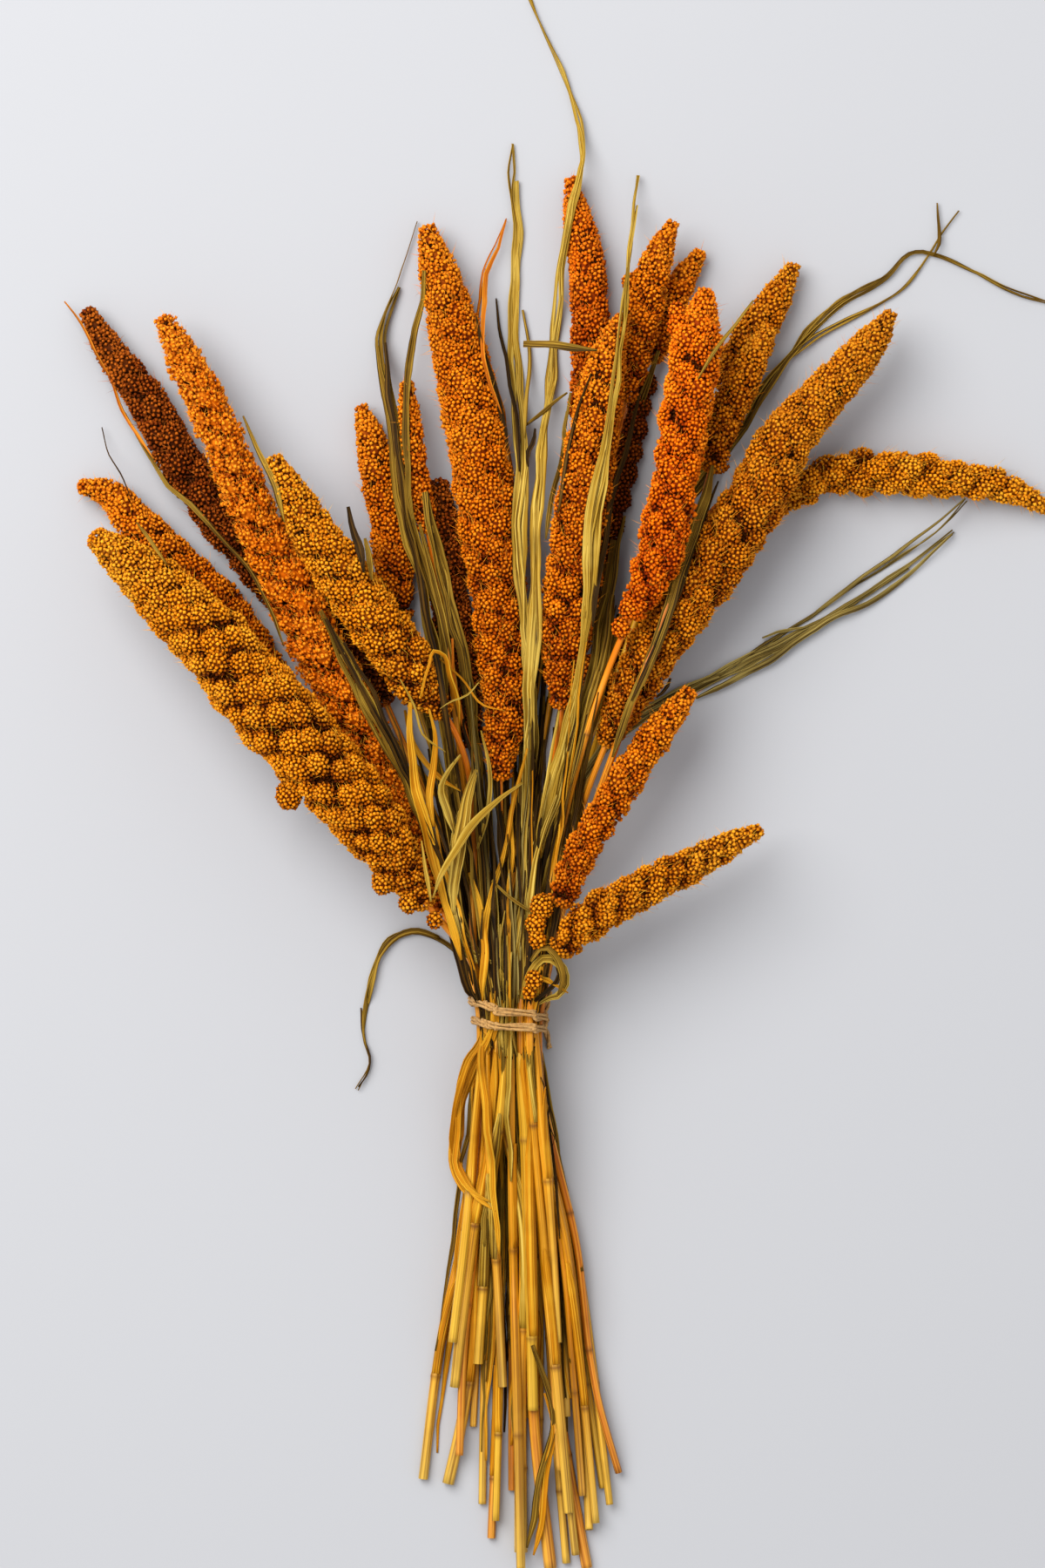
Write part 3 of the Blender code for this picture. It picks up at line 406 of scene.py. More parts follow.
def lift_legs(heights, legs, short, last_leg):
    """Raises both stations of each leg by what its samples fall short of clear."""
    worst = np.zeros(len(heights) - 1)
    np.maximum.at(worst, legs, short)
    worst[last_leg + 1:] = 0.0
    heights[:-1] += worst
    heights[1:] += np.maximum(0.0, worst - np.concatenate([worst[1:], [0.0]]))


def lay_stalk(pile, name, place, foot):
    """Stations (x, y, z, radius) of the head and of the culm of one stalk."""
    points, foot_radius = foot
    head = np.array(HEADS.get(name, np.empty((0, 3))), float)
    top = [] if len(head) else LEAFY_CULM
    below = [(place * FLARE_ABOVE, FLARE_HEIGHT), (place, 0.0), (place, RUN_BELOW)] + points
    plan = np.array([tuple(p[:2]) for p in head] + top + below, float)
    knots = knots_of(plan)
    tie_at = knots[len(plan) - len(points) - 2]
    where_head = np.empty(0)
    head_end = 0.0
    if len(head):
        head_end = knots[len(head) - 1]
        where_head = spaced(0.0, head_end, PROBE_STEP)
        head_end += HEAD_TO_CULM_GAP
    where_culm = spaced(head_end, knots[-1], PROBE_STEP)
    top_radius = CULM_TOP_RADIUS if len(head) else LEAFY_TOP_RADIUS
    neck_radius = CULM_NECK_RADIUS if len(head) else LEAFY_NECK_RADIUS
    culm_radius = np.interp(where_culm, [head_end, tie_at, knots[-1]],
                            [top_radius, neck_radius, foot_radius])
    where = np.concatenate([where_head, where_culm])
    line = smooth_values(knots, plan, where)
    radius = culm_radius
    count = len(where_head)
    if count:
        head_radius = smooth_values(knots[:len(head)], head[:, 2:], where_head)[:, 0]
        head_radius *= HEAD_FULLNESS
        radius = np.concatenate([head_radius, culm_radius])
    sink = np.zeros(len(where))
    sink[:count] = FLAT_DEPTH
    need = pile.least_height(line[:, 0], line[:, 1], radius, sink)
    slopes = np.full(len(where), CULM_SLOPE)
    if count:
        slopes[:count + STIFF_PROBES] = HEAD_SLOPE
    height = drape(need, where, slopes)
    dense = np.column_stack([line, height, radius])
    culm_kept = [count + i for i in thin_out(dense[count:, :3], CULM_TOLERANCE)]
    chosen = list(range(count)) + culm_kept
    stations = dense[chosen]
    samples, legs = between(np.column_stack([stations, sink[chosen]]), where[chosen], PROBE_STEP)
    short = pile.least_height(*samples[:, [0, 1, 3, 4]].T) - samples[:, 2]
    lift_legs(stations[:, 2], legs, short, len(chosen))
    samples, legs = between(stations, where[chosen], PROBE_STEP)
    pile.add(samples)
    return stations[:count], stations[count:]


def blade_offsets(plan, widths, rolls):
    """Where the points across a folded blade lie, from its middle: (stations, shares, 3)."""
    run = np.gradient(plan, axis=0)
    run /= np.linalg.norm(run, axis=1)[:, None]
    offsets = np.zeros((len(plan), len(LEAF_SHARES), 3))
    for j, share in enumerate(LEAF_SHARES):
        across = widths / 2 * share
        fold = widths * FOLD_SHARE * (abs(share) - FOLD_MIDDLE)
        sideways = across * np.cos(rolls) - fold * np.sin(rolls)
        offsets[:, j, 0] = -run[:, 1] * sideways
        offsets[:, j, 1] = run[:, 0] * sideways
        offsets[:, j, 2] = across * np.sin(rolls) + fold * np.cos(rolls)
    return offsets


def lay_blade(pile, plan, rolls, root_height=None):
    """Stations (x, y, z, width) of a folded blade, and its balls."""
    knots = knots_of(plan)
    where = spaced(0.0, knots[-1], LEAF_PROBE_STEP)
    dense = smooth_values(knots, plan, where)
    turn = np.radians(np.interp(where, [0.0, knots[-1]], rolls))
    offsets = blade_offsets(dense[:, :2], dense[:, 2], turn)
    size = np.full(len(where), LEAF_PROBE_RADIUS)
    need = np.zeros(len(where))
    for j in range(len(LEAF_SHARES)):
        spot = dense[:, :2] + offsets[:, j, :2]
        need = np.maximum(need, pile.least_height(spot[:, 0], spot[:, 1], size) - offsets[:, j, 2])
    height = drape(need, where, np.full(len(where), LEAF_SLOPE))
    if root_height is not None:
        height += (root_height - height[-1]) * np.exp((where - where[-1]) / STRAND_BLEND)
    line = np.column_stack([dense[:, :2], height])
    chosen = [0]
    for index in thin_out(line, LEAF_TOLERANCE)[1:]:
        start = chosen[-1]
        pieces = int(math.ceil((where[index] - where[start]) / LEAF_LONGEST_STEP))
        chosen += [start + (index - start) * i // pieces for i in range(1, pieces + 1)]
    stations = np.column_stack([line[chosen], dense[chosen, 2]])
    offsets = blade_offsets(stations[:, :2], stations[:, 3], turn[chosen])
    at = where[chosen]
    last_leg = len(chosen) if root_height is None else len(chosen) - STRAND_ROOT_LEGS
    samples, legs = between(stations[:, None, :3] + offsets, at, LEAF_PROBE_STEP)
    size = np.full(len(samples), LEAF_PROBE_RADIUS)
    short = np.full(len(samples), -1.0)
    for j in range(len(LEAF_SHARES)):
        spot = samples[:, j]
        short = np.maximum(short, pile.least_height(spot[:, 0], spot[:, 1], size) - spot[:, 2])
    lift_legs(stations[:, 2], legs, short, last_leg)
    samples, legs = between(stations[:, None, :3] + offsets, at, LEAF_PROBE_STEP)
    spots = samples.reshape(-1, 3)
    balls = np.column_stack([spots, np.full(len(spots), LEAF_PROBE_RADIUS)])
    return stations, balls


def leaf_plan(name, place):
    """The plan points of a leaf's main blade, run on through the tie where it is tied."""
    blade = list(LEAVES[name][0])
    if name in UNTIED_LEAVES:
        return np.array(blade, float)
    way = -1.0 if name in LEAVES_FROM_BELOW else 1.0
    if way * blade[-1][1] > FLARE_HEIGHT + LEAST_ROOM_FOR_FLARE:
        blade.append((place * FLARE_ABOVE, way * FLARE_HEIGHT, LEAF_TIED_WIDTH))
    blade.append((place, 0.0, LEAF_TIED_WIDTH))
    blade.append((place, -way * LEAF_END, LEAF_TIED_WIDTH))
    return np.array(blade, float)


def lay_leaf(pile, name, place, top_height):
    """Stations of each blade of a leaf, the main one first."""
    rolls = LEAF_ROLLS[name]
    root_height = top_height if name == "straw_tall" else None
    main = lay_blade(pile, leaf_plan(name, place), rolls, root_height)
    blades = [main]
    for strand in LEAVES[name][1:]:
        plan = np.array(strand, float)
        nearest = int(np.argmin(np.linalg.norm(main[0][:, :2] - plan[-1, :2], axis=1)))
        plan[-1, :2] = main[0][nearest, :2]
        blades.append(lay_blade(pile, plan, rolls, main[0][nearest, 2]))
    for stations, balls in blades:
        pile.add(balls)
    return [stations for stations, balls in blades]


def fan_position(name):
    """How far to the right a piece lies just above the tie, as an angle."""
    if name in LEAVES_FROM_BELOW:
        return -1.0
    if name == "leafy":
        x, y = LEAFY_CULM[-2]
    else:
        x, y = (HEADS[name] if name in HEADS else LEAVES[name][0])[-1][:2]
    return math.atan2(x, y)


def neck_places():
    """The x of every piece at the tie: rows from the bottom, each sorted by where it fans."""
    tied = [name for name in LAYING if name not in UNTIED_LEAVES]
    places = {}
    first = 0
    for row, count in enumerate(NECK_ROWS):
        group = sorted(tied[first:first + count], key=fan_position)
        shift = ROW_SHIFT if row % 2 else -ROW_SHIFT
        for column, name in enumerate(group):
            places[name] = (column - (len(group) - 1) / 2 + shift) * NECK_PITCH
        first += count
    return places


def feet_for(places):
    """The lower end that each culm takes, in the order that the culms have at the tie."""
    stalks = sorted(HEADS, key=lambda name: (places[name], LAYING.index(name)))
    feet = dict(zip(stalks, FEET[:LEAFY_FOOT] + FEET[LEAFY_FOOT + 1:]))
    feet["leafy"] = FEET[LEAFY_FOOT]
    return feet


def frame_along(line):
    """Forward, sideways and upward unit vectors at each point of a line in space."""
    forward = np.gradient(line, axis=0)
    forward /= np.linalg.norm(forward, axis=1)[:, None]
    side = np.cross((0.0, 0.0, 1.0), forward)
    side /= np.linalg.norm(side, axis=1)[:, None]
    return forward, side, np.cross(forward, side)


def lobe_rows(at, radius, around):
    """Distances from the tip of the rings between rows of lobes."""
    rows = [0.0]
    while rows[-1] < at[-1] - LEAST_ROW:
        local = 2 * math.pi * np.interp(rows[-1], at, radius) / around
        rows.append(rows[-1] + max(LEAST_ROW, ROW_SHARE * local))
    return np.array(rows) * at[-1] / rows[-1]


def wrap_points(pile, left, right):
    """Points round the bundle, one twine radius and a gap outside what the twine holds."""
    points = []
    for i in range(WRAP_POINTS):
        angle = 2 * math.pi * i / WRAP_POINTS
        y = (left + right) / 2 + (right - left) / 2 * math.cos(angle)
        held = pile.balls[np.abs(pile.balls[:, 1] - y) < WRAP_REACH]
        held = held[np.abs(held[:, 0]) < TIE_HALF_WIDTH]
        outward = np.array([math.cos(angle), math.sin(angle)])
        reach = held[:, [0, 2]] @ outward + held[:, 3]
        last = int(np.argmax(reach))
        distance = held[last, 3] + WRAP_GAP + TWINE_RADIUS
        x, z = held[last, [0, 2]] + outward * distance
        points.append((x, y, max(z, TWINE_RADIUS + WRAP_LIFT), angle))
    return points


# Looks. Lengths are millimetres, colours in whole numbers are sRGB from 0 to 255, and a pair
# of values is mostly the range of a random draw.
LOWEST = 0.05
GOLDEN_ANGLE = 2.39996
ANY_TURN = (0, 6.28)
ANY_PHASE = (0, 6)

# Columns of a seed head's spine
POINT = slice(0, 3)
RADIUS = 3
FORWARD = slice(4, 7)
SIDE = slice(7, 10)
UP = slice(10, 13)

# Lobes of a seed head
LOBE_SPREAD = 1.17
LOBE_SIZES = (0.85, 1.22)
LOBE_HEIGHTS = (0.72, 1.28)
LOBE_STRAY = 0.09
LOBE_LEAN = 0.22
LOBE_DEPTH = 1.2
LOBE_FOOT = 0.12
LOBE_REACH = 0.3
# Each lobe's tint: pale at the tip, falling towards the base as painted shade where the head lies deeper in
# the bunch, and a random stray
TINT_AT_TIP = 0.95
TINT_SHADE_FALL = 0.8
TINT_STRAY = 0.16
# How strong the painted shade low on each lobe is at a head's tip, and how it grows towards the base
SHADOW_AT_TIP = 0.3
SHADOW_GROWTH = 0.8
VALLEY_AT_TIP = 0.35
VALLEY_GROWTH = 0.75
DOME_INSET = 0.75
DOME_SIDES = 5
DOME_RINGS = (42.0, 82.0)
DOME_FOOT = -0.3
DOME_LOWEST = 0.2
# Painted shade on the domes, which show between the grains: how bright they stay on most heads and on loose
# ones, and their tint towards the dark grain colour
DOME_SHADE = 0.4
LOOSE_DOME_SHADE = 0.6
DOME_SHADE_TINT = 0.7
CORE_SINK = 0.6
CORE_RADIUS = 0.8
CORE_RINGS = 8
CORE_STEP = 4
CORE_SIDES = 10
CORE_LOWEST = 0.1
# Painted shade on the core, which shows through gaps: its tint, its brightness and its lobe tint
CORE_SHADE = (0.7, 0.3, 0.5)

# Grains and bristles
GRAIN_SIZES = (0.84, 1.14)
GRAIN_STRETCH = 0.92
GRAIN_SINK = 0.3
GRAIN_LEAN = 0.3
GRAIN_TILT = 0.14
GRAIN_STRAY = 0.16
GRAIN_LIFT = 0.22
# The share of its brightness that a grain's foot keeps: painted shade between the grains
GRAIN_FOOT_SHADE = 0.56
FEWEST_GRAINS = 5
BEAD_FOOT = -0.8
UNDERSIDE = -0.35
UNDERSIDE_THINNING = 2.4
UNDERSIDE_GROWTH = 1.55
CAP_RADIUS = 1.0
CAP_REACH = 0.7
CAP_TILT = 0.12
# Brightness of the grains that close the ends: painted shade at the rim, painted light towards the very end
CAP_SHADE = 0.6
CAP_PAINTED_LIGHT = 0.3
GAP_PITCH = 1.05
GAP_LIMIT = 0.86
# Painted shade on the grains that fill the gaps between the lobes
GAP_SHADE = 0.1
GAP_FEWEST = 4
EXTRA_TINTS = (0.4, 0.8)
BRISTLE_SIDES = 3
BRISTLE_WIDTH = 0.14
BRISTLE_LENGTHS = (0.5, 1.5)
BRISTLE_OUT = 0.8
BRISTLE_BACK = 0.7
BRISTLE_STRAY = 0.25

# Loose lobes
LOOSE_SPREAD = (0.9, 1.06)
LOOSE_SHAPE = (1.0, 1.15, 0.9)
# Painted light on loose lobes: brighter on top and darker underneath, with a dark core as painted shade
LOOSE_SHADE = 0.55
LOOSE_TOP_LIGHT = 0.45
LOOSE_END = 0.2
LOOSE_RINGS = 6
LOOSE_SIDES = 8
LOOSE_AXIS = (0.0, 1.1, 0.0)
LOOSE_CORE_SHADE = (0.7, 0.25, 0.5)

# Culms and straws, with their rings and clinging sheaths
CULM_SEED = 700
CULM_SIDES = 8
CULM_STEP = 4.5
FIRST_RING = (25, 80)
RING_SPACING = (55, 120)
LAST_RING = 15
NO_RING = -99.0
RING_CLEARANCE = 3.0
RING_STEPS = (-2.4, -0.9, 0.0, 0.9, 2.4)
RING_STAIN = (0.55, 0.9)
# Painted shade inside a culm's hollow cut end, in the ring colour: at the rim and at the bottom
HOLLOW_SHADE = (0.3, 1.0)
NODE_SWELL = 0.14
NODE_REACH = 1.1
STRAW_WALL = 0.35
STRAW_DEPTH = 5.0
STRAW_START = 0.4
STREAK_LENGTH = 90.0
SHEATH_TOP = 12.0
SHEATH_SHARE = 0.6
SHEATH_LENGTHS = (35, 105)
SHORTEST_SHEATH = 20.0
SHEATH_BELOW_RING = 1.5
SHEATH_LEAN = (-1.1, 1.1)
SHEATH_WIND = 0.35
SHEATH_WIND_RATE = 3
SHEATH_SPREAD = (0.7, 1.25)
SHEATH_TIP = 0.25
SHEATH_TAPER = 4
SHEATH_LIFT = 0.22
SHEATH_FLARE = 0.45
SHEATH_FIBRES = 0.5

# Leaves: blades, the strips that they are torn into, and how they bend and crumple
LEAF_SEED = 900
LEAF_STEP = 3.2
LEAF_TAPER = 14.0
ROOT_WIDTH = 0.35
NARROWEST = 0.5
WIDE_BLADE = 4.0
FEWEST_BENDS = 4
BEND_SPACING = 22
BEND_TURN = 36
KINK_SPACING = 11
KINK_SIZE = 0.52
PLEATS = 1.3
PLEAT_SHARE = 0.055
PLEAT_DRIFT = 0.7
EDGE_SWING = 0.14
EDGE_RAG = 0.03
FIBRES_ACROSS = 0.12
FIBRE_LENGTH = 60
STRIP_REACH = 0.14
STRIP_WAVE = 0.09
STRIP_WAVE_LENGTHS = (18, 45)
STRIP_LIFTS = (-0.2, 0.5)
STRIP_WIDTHS = (0.42, 0.66)
STRIP_SHORTENING = 12
STRIP_ROLL = 30
SHEET_HALF = 0.15
SHEET_COLUMNS = 5

# Strands and straws that lie on the bunch, and how they pass under the twine
STRAND_SEED = 11
STRAND_GAP = 0.12
STRAND_STEP = 4.0
STRAND_LOWEST = 0.4
THINNEST_HEAD = 2.9
WHOLE_BUNCH = 99.0
STRAW_SETTLE = 0.4
STRAW_DIP = 5.0
STRAW_SLOPE = 30.0
TIE_DIP = 2.4
DIP_REACH = 5.4
DIP_SLOPE = 9.0
# How far from the middle a strand may pass under the twine, and which strands are drawn in
TIE_EDGE = 12.0
NECK_REACH = 20.0
FAN_HALF_WIDTH = 13.2
FAN_OVERLAP = 15.0
FAN_STARTS = (0.3, 1.0)
FAN_BOW = 3.1
FAN_BEND = 1.6
FAN_DRIFT = 0.035
FAN_WIDTHS = (0.8, 1.0, 1.0, 0.95, 0.7, 0.3)

# Twine
TWINE_SEED = 77
# How far the twine is drawn in from the ring of its solid: sideways, along and upwards
WRAP_PULL = (1.9, 0.0, 0.9)
WRAP_THINNING = 0.7
WRAP_TURN = 1.5
# The line that loops of twine turn about, a little off the bundle's own so that none of a
# loop runs along it
LOOP_AXIS = (0.0, 1.0, 0.05)
PLY_TURN = 13.0
PLY_SIDES = 6
PLY_POINTS = 150
PLY_OFFSET = 0.45
PLY_SHARE = 0.56
PLY_LOWEST = 0.1
KNOT_POINTS = 40
KNOT_LEANS = (-1.2, 1.2)
KNOT_DEPTH = 1.6
KNOT_LENGTH = (0.0, 3.6, 0.0)
KNOT_WAIST = 0.3
TAIL_POINTS = 18

# Stage: lengths in metres, and the camera's sensor in millimetres
FLOOR_SIZE = 12.0
KEY_PLACE = (-1.1, 1.0, 1.9)
KEY_SIZE = 2.2
SKY = (0.96, 0.97, 1.0, 1.0)
SENSOR = 36.0
FAR_CLIP = 20.0
# Where the photo's middle lies in the part's frame, the length that it shows and the height
# at which that length holds, all in millimetres
CAMERA_X = -19.2
CAMERA_Y = -0.5
PHOTO_TALL = 684.0
MIDDLE_HEIGHT = 25.0

# Grain colour, dark grain and pale grain. The dark is also used for painted shade low on the lobes, and the
# pale for painted highlights on their tops
ORANGE = ((238, 122, 3), (128, 38, 0), (255, 172, 38))
AMBER = ((240, 140, 8), (116, 42, 0), (255, 192, 50))
REDDISH = ((232, 106, 3), (120, 32, 0), (255, 158, 32))
# Brown grain: left_dark's own colour, and painted shade on inner_dark and on the loose lobes beside
# right_dark, which lie in shadow
BROWN_AND_SHADE = ((132, 52, 4), (54, 16, 0), (220, 120, 30))
VIVID = ((248, 118, 2), (148, 38, 0), (255, 166, 32))
TAWNY = ((224, 124, 5), (118, 42, 0), (246, 178, 44))
FLUFFY = ((242, 128, 4), (168, 62, 0), (255, 178, 46))
GRAIN_NAMES = {"orange": ORANGE, "amber": AMBER, "reddish": REDDISH, "brown": BROWN_AND_SHADE,
               "vivid": VIVID, "tawny": TAWNY, "fluffy": FLUFFY}

# Each head: its colours, how long and how many its bristles are, how far its lobes stand
# out and how strong the painted shade between them is, and how loosely its grains lie
HEAD_STYLES = {
    "left_dark": (BROWN_AND_SHADE, 0.8, 0.6, 0.8, 1.0), "left_hidden": (BROWN_AND_SHADE, 0.8, 0.5, 0.8, 1.0),
    "left_fluffy": (FLUFFY, 0.5, 7.0, 1.7, 3.6), "left_slim": (ORANGE, 0.8, 0.8, 0.9, 1.0),
    "left_big": (AMBER, 0.7, 0.6, 1.45, 0.8), "front_yellow": (AMBER, 0.8, 0.8, 1.0, 1.0),
    "inner_left": (ORANGE, 0.8, 0.8, 0.75, 1.0), "inner_small": (ORANGE, 0.8, 0.6, 0.75, 1.0),
    "inner_dark": (BROWN_AND_SHADE, 0.8, 0.6, 0.8, 1.0), "centre": (ORANGE, 0.9, 1.0, 1.1, 1.0),
    "top_red": (REDDISH, 0.8, 0.8, 0.6, 1.0), "right_of_centre": (ORANGE, 0.8, 0.9, 1.05, 1.0),
    "upper_right": (ORANGE, 0.8, 0.8, 1.1, 1.3), "upper_right_back": (ORANGE, 0.8, 0.8, 0.8, 1.0),
    "vivid": (VIVID, 0.8, 0.8, 1.25, 1.3), "right_back": (TAWNY, 0.8, 0.8, 0.75, 1.0),
    "right_short": (TAWNY, 0.8, 0.8, 0.8, 1.0), "right_long": (TAWNY, 0.9, 1.0, 1.15, 1.0),
    "right_dark": (BROWN_AND_SHADE, 0.8, 0.6, 0.9, 1.0), "right_level": (AMBER, 0.9, 0.9, 1.55, 1.0),
    "low_slim": (ORANGE, 0.8, 0.8, 1.15, 1.0), "low_braided": (AMBER, 0.8, 0.7, 1.6, 0.8),
}
# How much slimmer than its solid a head's core of grain is, where its tufts stand apart
HEAD_GIRTHS = {"left_fluffy": 0.86}

OLIVE = ((110, 78, 12), (40, 24, 2), (184, 146, 50))
STRAW = ((168, 128, 32), (84, 54, 6), (220, 188, 88))
GREY = ((112, 90, 36), (48, 34, 8), (186, 164, 90))
RUST = ((190, 96, 6), (92, 40, 1), (230, 150, 36))
GOLD = ((196, 124, 6), (104, 54, 0), (232, 180, 48))
# Near-black strands: a few dark fibres, and most laid deep in the neck as painted shade between the stalks
DARK_AND_SHADE = ((46, 28, 2), (14, 7, 0), (98, 66, 12))

# Each leaf: its colours, and how wide it is against its solid
LEAF_STYLES = {
    "olive_left": (OLIVE, 0.8), "olive_broken": (OLIVE, 0.8), "straw_tall": (STRAW, 0.75),
    "kinked_tall": (STRAW, 0.65), "pale_front": (STRAW, 1.0), "olive_right": (OLIVE, 0.62),
    "grey_right": (GREY, 0.7), "drooping_left": (OLIVE, 0.7), "sheath_left": (OLIVE, 0.5),
    "thin_orange": (RUST, 0.42), "olive_inner": (OLIVE, 0.75), "sheath_right": (OLIVE, 1.0),
    "torn_front": (STRAW, 0.8), "bent_loop": (GOLD, 1.0),
}
STYLE_NAMES = {"olive": OLIVE, "straw": STRAW, "grey": GREY, "rust": RUST, "gold": GOLD, "dark": DARK_AND_SHADE}
SHEATH_STYLES = (GOLD, GOLD, STRAW)

# Straw and twine: under a head, two tints that some straws have, their streaks, and fluff
UNDER_HEAD = (232, 120, 6)
RUSSET_STRAW = (196, 90, 2)
YELLOW_STRAW = (206, 158, 34)
STREAK_DARK = (104, 50, 0)
STREAK_PALE = (252, 194, 62)
TWINE_FLUFF = (214, 172, 110)

# Colour mixes in order: towards which colour, what drives it, the values at which it starts
# and is full, and how strong it is then
# For grains, Tint and Patch are random tone, Lobe is random tone with painted shade towards the head's
# base, and Height paints a highlight on the lobe tops
GRAIN_MIXES = (
    ("Dark", "Tint", 0.6, 1.0, 0.45), ("Pale", "Tint", 0.35, 0.0, 0.4), ("Dark", "Patch", 0.0, 1.0, 0.3),
    ("Pale", "Lobe", 0.55, 1.0, 0.28), ("Dark", "Lobe", 0.5, 0.0, 0.42), ("Pale", "Height", 0.62, 1.0, 0.5),
)
FIBRE_MIXES = (
    ("Pale", "Fine", 0.42, 0.05, 0.8), ("Pale", "Patch", 0.6, 1.0, 0.4), ("Dark", "Patch", 0.4, 0.0, 0.4),
)
STRAW_MIXES = (
    ("Gold", "Along", 0.03, 0.2, 1.0), ("Pale", "Along", 0.7, 1.0, 1.0),
    ("Russet", "Hue", 0.66, 1.0, 0.8), ("Yellow", "Hue", 0.32, 0.0, 0.8),
)
# The heights between which a grain turns to its own colour from its dark colour and from the crease colour:
# painted shade, deepest low on the lobes and at the grains' feet
GRAIN_DEPTHS = (("Dark", 0.28, 0.68), ("Crease shade", 0.08, 0.44))
PATCH_SCALE = 30.0
STRAW_STREAKS = (1.3, 1.0, 37.0)
LEAF_STREAKS = (17.0, 0.6, 60.0)
TWINE_SCALE = 900.0
TWINE_SHADOW = 0.4

